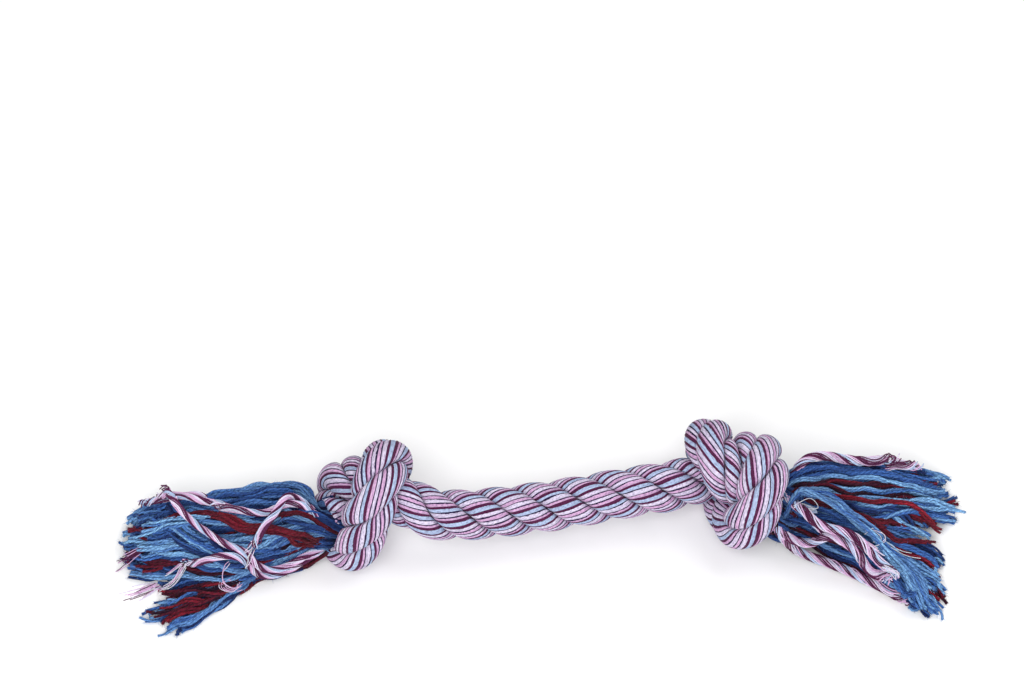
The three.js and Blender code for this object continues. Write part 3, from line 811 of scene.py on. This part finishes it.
@lru_cache(maxsize=None)
def settled_yarns(side):
    """Each group of yarns of a tassel at rest: (bunch, finish, line, radius, no tone yet)."""
    settings = bpy.context.scene.rope_toy_tassels
    tassel = Tassel(side)
    rng = np.random.default_rng(11 if side == "left" else 23)
    lines, kinds = [], []
    for number, bunch in enumerate(BUNCHES):
        locks = [lock for lock in LOCKS if lock[0] == f"{side}_{bunch}"]
        roots = packed_slots(sum(lock[1] for lock in locks), number) * 1.1
        roots = list(roots[np.argsort(-roots[:, 1])])
        for _, yarns, maroon, widths, way in locks:
            for i, slot in enumerate(packed_slots(yarns)):
                tip_slot = slot + rng.normal(0, 0.3, 2)
                outside = tassel.outside(way, widths, slot, tip_slot, rng.uniform(0.75, 1.12))
                line = np.vstack([tassel.inside(number, roots.pop(0)), outside])
                lines.append(spaced(catmull_rom(line, 12), SETTLE_POINTS))
                kinds.append((bunch, "maroon" if maroon and i % maroon == maroon // 2 else "blue"))
    lines = np.array(lines)
    swell = np.clip((run(lines) - SWELL_START) / SWELL_GROWTH, 0, 1)
    full = settings.yarn_diameter / MM / 2
    radius = full * (ROOT_GIRTH + (1 - ROOT_GIRTH) * swell) * rng.uniform(0.85, 1.15, (len(lines), 1))
    starts = [cord_start(side, name) for name in CORD_PLANS if name.startswith(side)]
    cords = [smooth_line(start, LINE_STEP) for start in starts if len(start) > 3]
    cords = np.array([spaced(cord, SETTLE_POINTS) for cord in cords])
    wide = np.full(cords.shape[:2], cord_radius(side))
    lines = settle(np.vstack([lines, cords]), np.vstack([radius, wide]), len(cords), FRONT_EDGE[side])
    made = []
    for (bunch, finish), line, thick in zip(kinds, lines, radius):
        thick = np.interp(np.linspace(0, 1, RINGS), np.linspace(0, 1, len(thick)), thick)
        made.append((bunch, finish, crimped(line, thick, rng), thick, None))
    return made


@lru_cache(maxsize=None)
def top_yarns(side):
    """The groups of yarns that lie on top of a tassel: (bunch, finish, line, radius, tone)."""
    lines, radii = pile_of(settled_yarns(side))
    thick = bpy.context.scene.rope_toy_tassels.yarn_diameter / MM / 2
    rng = np.random.default_rng(5)
    made = []
    for where, strand, finish, tone, plan in TOP_YARNS:
        if where.startswith(side):
            root = strand_end(side, BUNCHES.index(strand), 0.4)
            radius = thick * np.interp(np.linspace(0, 1, RINGS), (0, 0.3, 1), (0.7, 0.95, 1))
            line = crimped(draped(plan, root, thick * 0.9, lines, radii), radius, rng)
            made.append((where.split("_")[1], finish, line, radius, tone))
            lines.append(line[ROOT_RINGS:])
            radii.append(radius[ROOT_RINGS:])
    return made


def pile_of(yarns):
    """Lines and radii of groups of yarns, without their roots in the knot."""
    return [yarn[2][ROOT_RINGS:] for yarn in yarns], [yarn[3][ROOT_RINGS:] for yarn in yarns]


def cord_radius(side):
    return bpy.context.scene.rope_toy_tassels.cord_diameter / MM / 2 * CORD_GIRTH[side]


def strand_end(side, bunch, out):
    """Two places where a line leaves its strand end, out from the middle of the strand by a share of it."""
    tassel = Tassel(side)
    return tassel.inside(bunch, tassel.ends[bunch] * out)[:3:2]


def cord_start(side, name):
    """Where a cover cord leaves its strand end, and the places that it keeps among the yarns."""
    kept = [place for place in CORD_PLANS[name] if len(place) == 3]
    return np.vstack([strand_end(side, BUNCHES.index(name.split("_")[1]), 0.75), *kept])


def rest_height(line, radius, lines, radii, sink):
    """How high a round line rests on the pile at each of its places, or on the floor."""
    points, thick = np.vstack(lines), np.concatenate(radii)
    height = np.full(len(line), radius)
    for i, (x, y, _) in enumerate(line):
        away = np.hypot(points[:, 0] - x, points[:, 1] - y)
        near = away < thick + radius
        if near.any():
            lift = np.sqrt(np.maximum((thick + radius)[near] ** 2 - away[near] ** 2, 0))
            height[i] = max(radius, (points[near, 2] + lift * sink).max())
    return height


def draped(plan, start, radius, lines, radii):
    """A line that goes on from its start along a plan, and lies on what is under it."""
    if len(start) > 2:
        plan = [start[-1][:2], *plan]
    flat = smooth_line(np.array([(*p, 0.0) for p in plan]), PLAN_STEP)
    height = rest_height(flat, radius, lines, radii, YARN_SINK)
    for _ in range(4):
        padded = np.pad(height, 2, mode="edge")
        height = np.maximum(height * 0.96, sum(padded[i:i + len(height)] for i in range(5)) / 5)
    flat[:, 2] = height
    if not len(start):
        return smooth_line(flat, LINE_STEP)
    return smooth_line(np.vstack([start, flat[5 if len(start) > 2 else 2::3]]), LINE_STEP)


def eased(line, rounds):
    """A line without the tight bends that a limp cord can't take."""
    line = line.copy()
    for _ in range(rounds):
        line[1:-1] += 0.25 * (line[:-2] + line[2:] - 2 * line[1:-1])
    return line


def laid_on(line, plan, radius, lines, radii):
    """A cord's eased line, lifted to where it lies on the pile along its plan."""
    line = eased(line, CORD_EASING)
    if plan:
        first = int(np.hypot(*(line[:, :2] - plan[0]).T).argmin())
        height = rest_height(line[first:], radius, lines, radii, CORD_SINK)
        lack = np.zeros((len(line), 1))
        lack[first:, 0] = np.maximum(0, height - line[first:, 2])
        for _ in range(3):
            lack = np.maximum(lack, eased(lack, 12))
        line[:, 2:] += eased(lack, 6)
    return spaced(line, round(run(line)[-1] / LINE_STEP) + 1)


@lru_cache(maxsize=None)
def laid_cords(side):
    """The cover cords of a tassel where they lie on its yarns, and the whole pile: lines and radii."""
    radius = cord_radius(side)
    lines, radii = pile_of(settled_yarns(side) + top_yarns(side))
    cords = []
    for name, places in CORD_PLANS.items():
        if name.startswith(side):
            start = cord_start(side, name)
            plan = [place for place in places if len(place) == 2]
            line = draped(plan, start, radius, lines, radii) if plan else smooth_line(start, LINE_STEP)
            line = laid_on(line, plan, radius, lines, radii)
            cords.append((name, line))
            lines.append(line[CORD_ROOT:])
            radii.append(np.full(len(line) - CORD_ROOT, radius))
    return cords, lines, radii


# Materials


def feed(tree, socket, value):
    """An input gets a value, or a link where it is given a node's output."""
    if isinstance(value, bpy.types.NodeSocket):
        tree.links.new(value, socket)
    else:
        socket.default_value = value


def add_node(tree, kind, **inputs):
    """A new node, with a value or a link on each input that is named."""
    node = tree.nodes.new(f"ShaderNode{kind}")
    for label, value in inputs.items():
        feed(tree, node.inputs[label.replace("_", " ")], value)
    return node


def math_node(tree, operation, *values):
    node = add_node(tree, "Math")
    node.operation = operation
    for socket, value in zip(node.inputs, values):
        feed(tree, socket, value)
    return node.outputs[0]


def group(name, inputs, outputs):
    """A new node group with its named sockets, its input and output nodes, and the UV map's two parts."""
    tree = bpy.data.node_groups.new(name, "ShaderNodeTree")
    tree.interface.new_socket(name="UV", in_out="INPUT", socket_type="NodeSocketVector")
    for label, value in inputs.items():
        socket = tree.interface.new_socket(name=label, in_out="INPUT", socket_type="NodeSocketFloat")
        socket.default_value = value
    for label in outputs:
        tree.interface.new_socket(name=label, in_out="OUTPUT", socket_type="NodeSocketFloat")
    given, result = tree.nodes.new("NodeGroupInput"), tree.nodes.new("NodeGroupOutput")
    parts = add_node(tree, "SeparateXYZ", Vector=given.outputs["UV"])
    return tree, given.outputs, result.inputs, parts.outputs


@lru_cache(maxsize=None)
def plied_group():
    """Threads that lie side by side on the UV map, each twisted from two plies."""
    tree, given, result, uv = group(
        "Plied threads", {"Threads": 40.0, "Twists per metre": 800.0}, ("Thread", "Ply")
    )
    across = math_node(tree, "MULTIPLY", uv["X"], given["Threads"])
    twist = math_node(tree, "MULTIPLY", uv["Y"], given["Twists per metre"])
    for label, phase in (("Thread", across), ("Ply", math_node(tree, "ADD", twist, across))):
        half_turn = math_node(tree, "MULTIPLY", math_node(tree, "FRACT", phase), math.pi)
        tree.links.new(math_node(tree, "SINE", half_turn), result[label])
    return tree


@lru_cache(maxsize=None)
def fibre_group():
    """Fine fibres drawn out along the yarn on the UV map, and broad soiling across it."""
    tree, given, result, uv = group("Drawn fibres", {"Across": 60.0, "Along": 900.0}, ("Fibre", "Mottle"))
    across = math_node(tree, "MULTIPLY", uv["X"], given["Across"])
    along = math_node(tree, "MULTIPLY", uv["Y"], given["Along"])
    for label, share in (("Fibre", 1.0), ("Mottle", 0.16)):
        x, y = (math_node(tree, "MULTIPLY", place, share) for place in (across, along))
        joined = add_node(tree, "CombineXYZ", X=x, Y=y)
        noise = add_node(tree, "TexNoise", Vector=joined.outputs[0], Scale=1.0, Detail=3.0)
        tree.links.new(noise.outputs["Fac"], result[label])
    return tree


class Finish:
    """A cotton material under construction."""

    def __init__(self, name, roughness, sheen):
        self.material = bpy.data.materials.new(name)
        self.material.use_nodes = True
        self.tree = self.material.node_tree
        self.surface = self.tree.nodes["Principled BSDF"]
        for label, value in (("Roughness", roughness), ("Specular IOR Level", 0.1), ("Sheen Weight", sheen),
                             ("Sheen Roughness", 0.5)):
            self.surface.inputs[label].default_value = value
        self.uv = add_node(self.tree, "UVMap").outputs["UV"]
        parts = add_node(self.tree, "SeparateXYZ", Vector=self.uv)
        self.across, self.along = parts.outputs["X"], parts.outputs["Y"]

    def use(self, tree, **values):
        """A node group on the piece's UV map, with its own values."""
        node = add_node(self.tree, "Group")
        node.node_tree = tree
        for label, value in {"UV": self.uv, **values}.items():
            feed(self.tree, node.inputs[label.replace("_", " ")], value)
        return node.outputs

    def tone(self):
        node = add_node(self.tree, "Attribute")
        node.attribute_name = "tone"
        return node.outputs["Fac"]

    def ramp(self, factor, stops, interpolation="LINEAR"):
        node = add_node(self.tree, "ValToRGB", Fac=factor)
        node.color_ramp.interpolation = interpolation
        elements = node.color_ramp.elements
        while len(elements) < len(stops):
            elements.new(0.5)
        for element, (place, colour) in zip(elements, stops):
            element.position = place
            element.color = (*colour, 1)
        return node.outputs["Color"]

    def shaded(self, colour, share, mask, *stops):
        """The colour times the tints that a mask has along its stops, by a share of them."""
        tint = self.ramp(mask, stops)
        node = add_node(self.tree, "Mix")
        node.data_type, node.blend_type = "RGBA", "MULTIPLY"
        for socket, value in ((0, share), (6, colour), (7, tint)):
            feed(self.tree, node.inputs[socket], value)
        return node.outputs[2]

    def maths(self, operation, *values):
        return math_node(self.tree, operation, *values)

    def strayed(self, noise, size):
        """A noise about zero, of that size."""
        return self.maths("MULTIPLY", self.maths("SUBTRACT", noise, 0.5), size)

    def done(self, colour, height, depth):
        self.tree.links.new(colour, self.surface.inputs["Base Color"])
        bump = add_node(self.tree, "Bump", Strength=0.8, Distance=depth, Height=height)
        self.tree.links.new(bump.outputs["Normal"], self.surface.inputs["Normal"])
        return self.material


@lru_cache(maxsize=None)
def strand_finish():
    """Striped cotton: coloured cover cords side by side, each of a few twisted threads."""
    settings = bpy.context.scene.rope_toy_strands
    finish = Finish("striped_strand", 0.95, 0.05)
    whole = sum(width for _, width in COVER_STRIPES)
    stops, place = [], 0.0
    for colour, width in COVER_STRIPES:
        stops.append((place / whole, tuple(getattr(settings, colour))))
        place += width
    plied = finish.use(plied_group(), Threads=88.0, Twists_per_metre=900.0)
    fibre = finish.use(fibre_group(), Across=140.0, Along=260.0)
    speck = finish.use(fibre_group(), Across=64.0, Along=900.0)
    stray = finish.maths("ADD", finish.strayed(fibre["Mottle"], 0.042), finish.strayed(speck["Fibre"], 0.01))
    twice = finish.maths("MULTIPLY", finish.maths("ADD", finish.across, stray), 2.0)
    base = finish.ramp(finish.maths("FRACT", finish.maths("ADD", twice, 1.0)), stops, "CONSTANT")
    colour = finish.shaded(base, 0.8, fibre["Mottle"], (0.25, (0.72, 0.7, 0.76)), (0.6, WHITE))
    # Flecks: the darker ones are fibre texture, and the lighter ones (up to 1.15) are painted highlights on
    # the threads.
    colour = finish.shaded(
        colour, 0.85, speck["Fibre"], (0.34, (0.56, 0.53, 0.63)), (0.53, WHITE), (0.7, (1.15, 1.15, 1.15))
    )
    # Painted shade: darker in the grooves between the threads and between the plies of each thread.
    colour = finish.shaded(colour, 0.75, plied["Thread"], (0.0, (0.45, 0.4, 0.52)), (0.7, WHITE))
    colour = finish.shaded(colour, 0.6, plied["Ply"], (0.0, (0.74, 0.72, 0.78)), (0.6, WHITE))
    height = finish.maths("ADD", plied["Thread"], finish.maths("MULTIPLY", plied["Ply"], 0.4))
    height = finish.maths("ADD", height, finish.maths("MULTIPLY", fibre["Fibre"], 0.5))
    return finish.done(colour, height, 0.00022)


@lru_cache(maxsize=None)
def yarn_finish(name):
    """Soft loose-spun yarn, in tones from yarn to yarn."""
    settings = bpy.context.scene.rope_toy_tassels
    finish = Finish(name, 1.0, 0.04)
    tones = [settings.red_dark, settings.red_light]
    if name == "blue_yarn":
        tones = [settings.yarn_dark, settings.yarn_mid, settings.yarn_light]
    base = finish.ramp(finish.tone(), [(i / (len(tones) - 1), tuple(tone)) for i, tone in enumerate(tones)])
    plied = finish.use(plied_group(), Threads=2.0, Twists_per_metre=330.0)
    fibre = finish.use(fibre_group(), Across=9.0, Along=900.0)
    colour = finish.shaded(base, 0.8, fibre["Mottle"], (0.3, (0.5, 0.5, 0.58)), (0.65, WHITE))
    # Fibre streaks darken and lighten the yarn; the lightest (up to 1.5) are painted highlights where fibres
    # catch the light.
    colour = finish.shaded(
        colour, 0.9, fibre["Fibre"], (0.34, (0.42, 0.42, 0.5)), (0.52, WHITE), (0.72, (1.5, 1.5, 1.4))
    )
    # Painted shade: darker in the groove between the two plies.
    colour = finish.shaded(colour, 0.75, plied["Ply"], (0.0, (0.34, 0.34, 0.42)), (0.6, WHITE))
    # Painted shade near the knot, which shades the yarns' roots, and painted light that makes their tips
    # lighter.
    knot_shade_and_tip_light = finish.maths("MULTIPLY", finish.along, 12.0)
    colour = finish.shaded(
        colour, 0.9, knot_shade_and_tip_light, (0.15, (0.5, 0.5, 0.58)), (0.6, (0.95, 0.95, 0.97)), (1.0, (1.15, 1.15, 1.12))
    )
    return finish.done(colour, finish.maths("ADD", plied["Ply"], fibre["Fibre"]), 0.0004)


@lru_cache(maxsize=None)
def thread_finish():
    """Smooth twisted cotton thread in the cover's colours, each from its own tone on."""
    settings = bpy.context.scene.rope_toy_strands
    finish = Finish("cover_thread", 0.9, 0.05)
    stops = [(0.0, settings.lilac), (0.36, settings.blue), (0.56, settings.pink), (0.74, settings.maroon),
             (0.96, (0.86, 0.88, 0.92))]
    base = finish.ramp(finish.tone(), [(place, tuple(colour)) for place, colour in stops], "CONSTANT")
    plied = finish.use(plied_group(), Threads=2.0, Twists_per_metre=900.0)
    fibre = finish.use(fibre_group(), Across=6.0, Along=500.0)
    # Painted shade: darker in the groove between the two plies.
    colour = finish.shaded(base, 0.7, plied["Ply"], (0.0, (0.66, 0.62, 0.7)), (0.6, WHITE))
    colour = finish.shaded(colour, 0.7, fibre["Mottle"], (0.3, (0.75, 0.74, 0.8)), (0.65, WHITE))
    height = finish.maths("ADD", plied["Ply"], finish.maths("MULTIPLY", fibre["Fibre"], 0.5))
    return finish.done(colour, height, 0.00018)


# Operators


def bend_with(piece, side, bunch=None):
    """The piece's transform is baked into its mesh; it is not made to bend with the rope or its knot."""
    if bunch is None:
        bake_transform(piece)
    else:
        tassel = Tassel(side)
        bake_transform(piece)


@lru_cache(maxsize=None)
def stripe_columns():
    """Places round a strand from 0 to 1, and the share of its ridge that a cover cord has there."""
    widths = np.array([width for _, width in COVER_STRIPES * 2])
    bounds = np.concatenate([[0], np.cumsum(widths)]) / widths.sum()
    columns, bulge = [], []
    for low, high, width in zip(bounds, bounds[1:], widths):
        faces = max(2, round(width / STRIPE_STEP))
        share = np.arange(faces) / faces
        columns.append(low + (high - low) * share)
        bulge.append(np.sqrt(1 - (2 * share - 1) ** 2) * min(1.0, width / FULL_RIDGE))
    return np.concatenate(columns), np.concatenate(bulge)


class ROPETOY_OT_strands(bpy.types.Operator):
    """Lay the three strands of each half of the rope, with their striped cover cords"""

    bl_idname = "rope_toy.strands"
    bl_label = "Lay the strands"

    def execute(self, context):
        settings = context.scene.rope_toy_strands
        cord = rope()
        cut = settings.cut / MM
        middle = int(np.abs(cord.point[:, 0]).argmin())
        first = int(np.searchsorted(cord.along, cut))
        last = int(np.searchsorted(cord.along, cord.length - cut))
        for side, rings in (("left", range(first, middle + 1)), ("right", range(middle, last + 1))):
            for strand in range(STRANDS):
                self.lay(side, strand, list(rings), settings)
        return {"FINISHED"}

    def lay(self, side, strand, rings, settings):
        cord = rope()
        outline = lobe_outline()
        around = run(outline) / run(outline)[-1]
        columns, bulge = stripe_columns()
        vertices = []
        for i in rings:
            along = cord.along[i]
            place = (columns - settings.cover_turns * along / cord.length * cord.turns) % 1.0
            x, y = between(place, around, outline).T
            angle, radius = np.arctan2(y, x) + cord.lay(along, strand), np.hypot(x, y)
            ways = ways_round(cord.normal[i], cord.binormal[i], angle)
            reach = (radius**-PRESS + cord.room(i, ways) ** -PRESS) ** (-1 / PRESS)
            reach += settings.ridge / MM * bulge * np.interp(radius / ROPE_RADIUS, RIDGE_GROWTH, (0, 1))
            vertices.append(cord.point[i] + ways * reach[:, None])
        vertices = np.array(vertices)
        vertices[..., 2] = np.maximum(vertices[..., 2], STRAND_LOWEST)
        poles = vertices[[0, -1]].mean(1)
        rows, count = vertices.shape[:2]
        i, j, quads, caps = tube_faces(rows, count)
        edges = np.append(columns, 1.0)
        v = cord.along[rings] * MM
        quad_uv = np.stack([np.stack([edges[j], edges[j + 1], edges[j + 1], edges[j]], 1),
                            np.stack([v[i], v[i], v[i + 1], v[i + 1]], 1)], -1)
        u = np.stack([edges[:-1], edges[1:], edges[:-1]], 1)
        ends = np.repeat([v[0], v[-1]], count)[:, None] + np.zeros((1, 3))
        cap_uv = np.stack([np.vstack([u, u]), ends], -1)
        seam = np.arange(count) + ((rows - 1) * count if side == "left" else 0)
        piece = new_piece(
            f"{side}_striped_strand_{strand + 1}", np.vstack([vertices.reshape(-1, 3), poles]), [quads, caps],
            strand_finish(), [quad_uv, cap_uv], sharp=seam,
        )
        bend_with(piece, side)
        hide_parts(f"{side}_knot_strand_{strand + 1}", f"middle_strand_{strand + 1}")


def add_yarns(finish):
    """The yarns of one colour with their fuzz, as one piece for each strand end."""
    settings = bpy.context.scene.rope_toy_tassels
    for side in SIDES:
        yarns = settled_yarns(side) + top_yarns(side)
        for number, bunch in enumerate(BUNCHES):
            chosen = [yarn for yarn in yarns if yarn[:2] == (bunch, finish)]
            seed = number + 10 * (side == "right") + 100 * (finish == "maroon")
            rng = np.random.default_rng(seed)
            single = [one for yarn in chosen for one in parted(yarn[2], yarn[3], rng)]
            lines, radius = (np.array(values) for values in zip(*single))
            most = MAROON_TONES if finish == "maroon" else 1.0
            drawn = rng.beta(TONE_SHAPE, TONE_SHAPE, len(chosen)) * most
            tone = [one if yarn[4] is None else yarn[4] for yarn, one in zip(chosen, drawn)]
            tone = np.clip(np.repeat(tone, YARNS_IN_GROUP) + rng.normal(0, TONE_STRAY, len(lines)), 0, 1)
            tubes = Tubes()
            tubes.add(lines, radius, tone)
            fibres, owner = fuzz_lines(lines, radius, settings.fuzz / MM, seed)
            lighter = rng.normal(FUZZ_TONE, FUZZ_TONE, len(owner))
            tubes.add_fibres(fibres, np.clip(tone[owner] + lighter, 0, 1))
            piece = tubes.piece(f"{side}_{bunch}_{finish}_core_yarns", yarn_finish(f"{finish}_yarn"))
            bend_with(piece, side, bunch)
            nodes = ("blue_yarns_1", "blue_yarns_2") if finish == "blue" else ("maroon_yarns",)
            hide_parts(*(f"{side}_{bunch}_{node}" for node in nodes))


class ROPETOY_OT_blue_yarns(bpy.types.Operator):
    """Let the blue core yarns of both tassels come to rest"""

    bl_idname = "rope_toy.blue_yarns"
    bl_label = "Loosen the blue yarns"

    def execute(self, context):
        add_yarns("blue")
        return {"FINISHED"}


class ROPETOY_OT_maroon_yarns(bpy.types.Operator):
    """Let the maroon core yarns of both tassels come to rest"""

    bl_idname = "rope_toy.maroon_yarns"
    bl_label = "Loosen the maroon yarns"

    def execute(self, context):
        add_yarns("maroon")
        return {"FINISHED"}


class ROPETOY_OT_cover_cords(bpy.types.Operator):
    """Drape the loose cover cords over the yarns, each of twisted threads that fray at its end"""

    bl_idname = "rope_toy.cover_cords"
    bl_label = "Drape the cover cords"

    def execute(self, context):
        thread = context.scene.rope_toy_tassels.thread_diameter / MM / 2
        for side in SIDES:
            for seed, (name, line) in enumerate(laid_cords(side)[0]):
                self.ply(name, side, line, cord_radius(side), thread, seed + 20 * (side == "right"))
        return {"FINISHED"}

    def ply(self, name, side, line, radius, thread, seed):
        rng = np.random.default_rng(300 + seed)
        _, normal, binormal = frames_of(line)
        along = run(line)
        layers = list(CORD_LAYERS.values())
        count = sum(layers)
        ring = np.repeat(list(CORD_LAYERS), layers) * (radius - thread)
        start = np.concatenate([np.arange(many) / many for many in layers]) * TURN
        start = start + rng.normal(0, 0.1, count)
        open_end = np.clip((along - along[-1] + CORD_FRAY) / CORD_FRAY, 0, 1) ** 2
        turn = start[:, None] + along / CORD_TWIST * TURN * (1 - FRAY_UNTWIST * open_end)
        out = ring[:, None] * (1 + 0.1 * np.sin(along / rng.uniform(7, 16, (count, 1)) + start[:, None]))
        frayed = open_end * np.abs(rng.normal(0, FRAY_SPREAD, (count, 1)))
        out = np.minimum(out + frayed, FRAY_LIMIT * radius)
        threads = line + ways_round(normal, binormal, turn) * out[..., None]
        threads[..., 2] = np.maximum(threads[..., 2], thread + FLOOR_GAP)
        keep = rng.integers(len(line) - FRAY_POINTS, len(line) + 1, count)
        bands = np.roll(CORD_BANDS, rng.integers(len(CORD_BANDS)))
        tone = np.concatenate([rng.uniform(0, 0.95, count - len(bands)), bands])
        tubes = Tubes()
        for path, end, shade in zip(threads, keep, tone):
            tubes.add(path[None, :end], thread, shade)
        piece = tubes.piece(name.replace("cover_cord", "loose_cover_cord"), thread_finish())
        bend_with(piece, side, name.split("_")[1])
        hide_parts(name)


class ROPETOY_OT_loose_threads(bpy.types.Operator):
    """Lay the tufts of single threads that have come out of the cover cords"""

    bl_idname = "rope_toy.loose_threads"
    bl_label = "Lay the loose threads"

    def execute(self, context):
        thread = context.scene.rope_toy_tassels.thread_diameter / MM * LOOSE_THREAD_SHARE
        for where in dict.fromkeys(tuft[0] for tuft in LOOSE_THREADS):
            side, bunch = where.split("_")
            _, lines, radii = laid_cords(side)
            rng = np.random.default_rng(len(where) + ord(bunch[0]))
            tubes = Tubes()
            for _, tones, count, spread, plan in (tuft for tuft in LOOSE_THREADS if tuft[0] == where):
                plan = np.array(plan, float)
                fan = np.linspace(0.4, 1, len(plan))[:, None]
                for i in range(count):
                    way = plan + rng.normal(0, spread * 0.5, 2) * fan + rng.normal(0, 0.5, plan.shape)
                    way[-1] += (way[-2] - way[-1]) * rng.uniform(0, 0.5)
                    line = draped(way, (), thread, lines, radii)
                    tubes.add(line[None], thread, tones[i % len(tones)])
            piece = tubes.piece(f"{where}_loose_threads", thread_finish())
            bend_with(piece, side, bunch)
        return {"FINISHED"}


class ROPETOY_OT_stage(bpy.types.Operator):
    """Set the floor, the soft light and the camera"""

    bl_idname = "rope_toy.stage"
    bl_label = "Set the stage"

    def execute(self, context):
        settings = context.scene.rope_toy_stage
        context.scene.view_settings.view_transform = "Standard"
        bpy.ops.object.select_all(action="DESELECT")
        bpy.ops.mesh.primitive_grid_add(
            x_subdivisions=8, y_subdivisions=8, size=FLOOR_SIZE, location=(0, 0, 0)
        )
        floor = context.object
        floor.name = "studio_floor"
        floor.data.materials.append(self.floor_finish(settings))
        self.world(context, settings)
        for name, (place, share) in LAMPS.items():
            bpy.ops.object.light_add(type="AREA", location=place)
            lamp = context.object
            lamp.name = name
            lamp.data.size = LAMP_SIZE
            lamp.data.energy = settings.key * share
            lamp.rotation_mode = "QUATERNION"
            lamp.rotation_quaternion = (-Vector(place)).to_track_quat("-Z", "Y")
        self.camera(context, settings)
        return {"FINISHED"}

    def floor_finish(self, settings):
        """A floor of its own colour under the toy, which turns to pure white away from it."""
        material = bpy.data.materials.new("pale_floor")
        material.use_nodes = True
        tree = material.node_tree
        surface = tree.nodes["Principled BSDF"]
        surface.inputs["Roughness"].default_value = 0.9
        surface.inputs["Specular IOR Level"].default_value = 0.0
        place = add_node(tree, "TexCoord").outputs["Object"]
        noise = add_node(tree, "TexNoise", Vector=place, Scale=3.0)
        ramp = add_node(tree, "ValToRGB", Fac=noise.outputs["Fac"])
        ramp.color_ramp.elements[0].color = (*(c * 0.995 for c in settings.floor), 1)
        ramp.color_ramp.elements[1].color = (*settings.floor, 1)
        tree.links.new(ramp.outputs["Color"], surface.inputs["Base Color"])
        away = add_node(tree, "VectorMath")
        away.operation = "LENGTH"
        tree.links.new(place, away.inputs[0])
        start, end = FLOOR_FADE
        far = add_node(tree, "MapRange", Value=away.outputs["Value"], From_Min=start, From_Max=end)
        far.interpolation_type = "SMOOTHSTEP"
        white = add_node(tree, "Emission", Strength=1.0)
        share = math_node(tree, "MULTIPLY", far.outputs["Result"], self.looking(tree))
        self.mix(tree, share, surface, white, tree.nodes["Material Output"])
        return material

    def looking(self, tree):
        """One for a ray that sees the place, also in a mirror or glass, and zero for one that lights it."""
        path = add_node(tree, "LightPath").outputs
        either = math_node(tree, "MAXIMUM", path["Is Camera Ray"], path["Is Glossy Ray"])
        return math_node(tree, "MAXIMUM", either, path["Is Transmission Ray"])

    def mix(self, tree, share, first, second, output):
        """Two shaders, the second by a share, as the surface of the output."""
        node = add_node(tree, "MixShader")
        for socket, value in zip(node.inputs, (share, first.outputs[0], second.outputs[0])):
            feed(tree, socket, value)
        tree.links.new(node.outputs[0], output.inputs["Surface"])

    def world(self, context, settings):
        """A soft light from all round, behind which pure white is seen."""
        world = bpy.data.worlds.new("studio_light")
        context.scene.world = world
        world.use_nodes = True
        tree = world.node_tree
        light, seen = tree.nodes["Background"], add_node(tree, "Background")
        for node, strength in ((light, settings.fill), (seen, 1.0)):
            node.inputs["Color"].default_value = (*WHITE, 1)
            node.inputs["Strength"].default_value = strength
        self.mix(tree, self.looking(tree), light, seen, tree.nodes["World Output"])

    def camera(self, context, settings):
        a, e = settings.azimuth, settings.elevation
        right = Vector((math.cos(a), math.sin(a), 0))
        back = Vector((math.sin(a) * math.cos(e), -math.cos(a) * math.cos(e), math.sin(e)))
        up = back.cross(right)
        point = PHOTO_POINT * MM
        middle = Vector((0, 0, MIDDLE_HEIGHT * MM))
        aim = middle - right * (MIDDLE_RIGHT * point) + up * (MIDDLE_DOWN * point)
        place = aim + back * settings.distance
        bpy.ops.object.camera_add(location=place)
        camera = context.object
        camera.name = "photo_camera"
        camera.rotation_mode = "QUATERNION"
        camera.rotation_quaternion = (-back).to_track_quat("-Z", "Y")
        camera.data.sensor_width = SENSOR_WIDTH
        camera.data.lens = SENSOR_WIDTH * settings.distance / (PHOTO_WIDTH * point)
        camera.data.clip_end = 50
        context.scene.camera = camera


class ROPETOY_PT_panel(bpy.types.Panel):
    """The rope toy's steps, in the 3D view's sidebar"""

    bl_idname = "ROPETOY_PT_panel"
    bl_label = "Rope toy"
    bl_space_type = "VIEW_3D"
    bl_region_type = "UI"
    bl_category = "Rope toy"

    def draw(self, context):
        for operator in OPERATORS:
            self.layout.operator(operator.bl_idname)


OPERATORS = (ROPETOY_OT_stage, ROPETOY_OT_strands, ROPETOY_OT_blue_yarns, ROPETOY_OT_maroon_yarns,
             ROPETOY_OT_cover_cords, ROPETOY_OT_loose_threads)
SETTINGS = {
    "rope_toy_strands": RopeToyStrands,
    "rope_toy_tassels": RopeToyTassels,
    "rope_toy_stage": RopeToyStage,
}


def register():
    for cls in (*SETTINGS.values(), *OPERATORS, ROPETOY_PT_panel):
        bpy.utils.register_class(cls)
    for name, cls in SETTINGS.items():
        setattr(bpy.types.Scene, name, bpy.props.PointerProperty(type=cls))


def unregister():
    for name in SETTINGS:
        delattr(bpy.types.Scene, name)
    for cls in reversed((*SETTINGS.values(), *OPERATORS, ROPETOY_PT_panel)):
        bpy.utils.unregister_class(cls)


def main():
    register()
    bpy.ops.rope_toy.stage()
    bpy.ops.rope_toy.strands()
    bpy.ops.rope_toy.blue_yarns()
    bpy.ops.rope_toy.maroon_yarns()
    bpy.ops.rope_toy.cover_cords()
    bpy.ops.rope_toy.loose_threads()


if __name__ == "__main__":
    main()
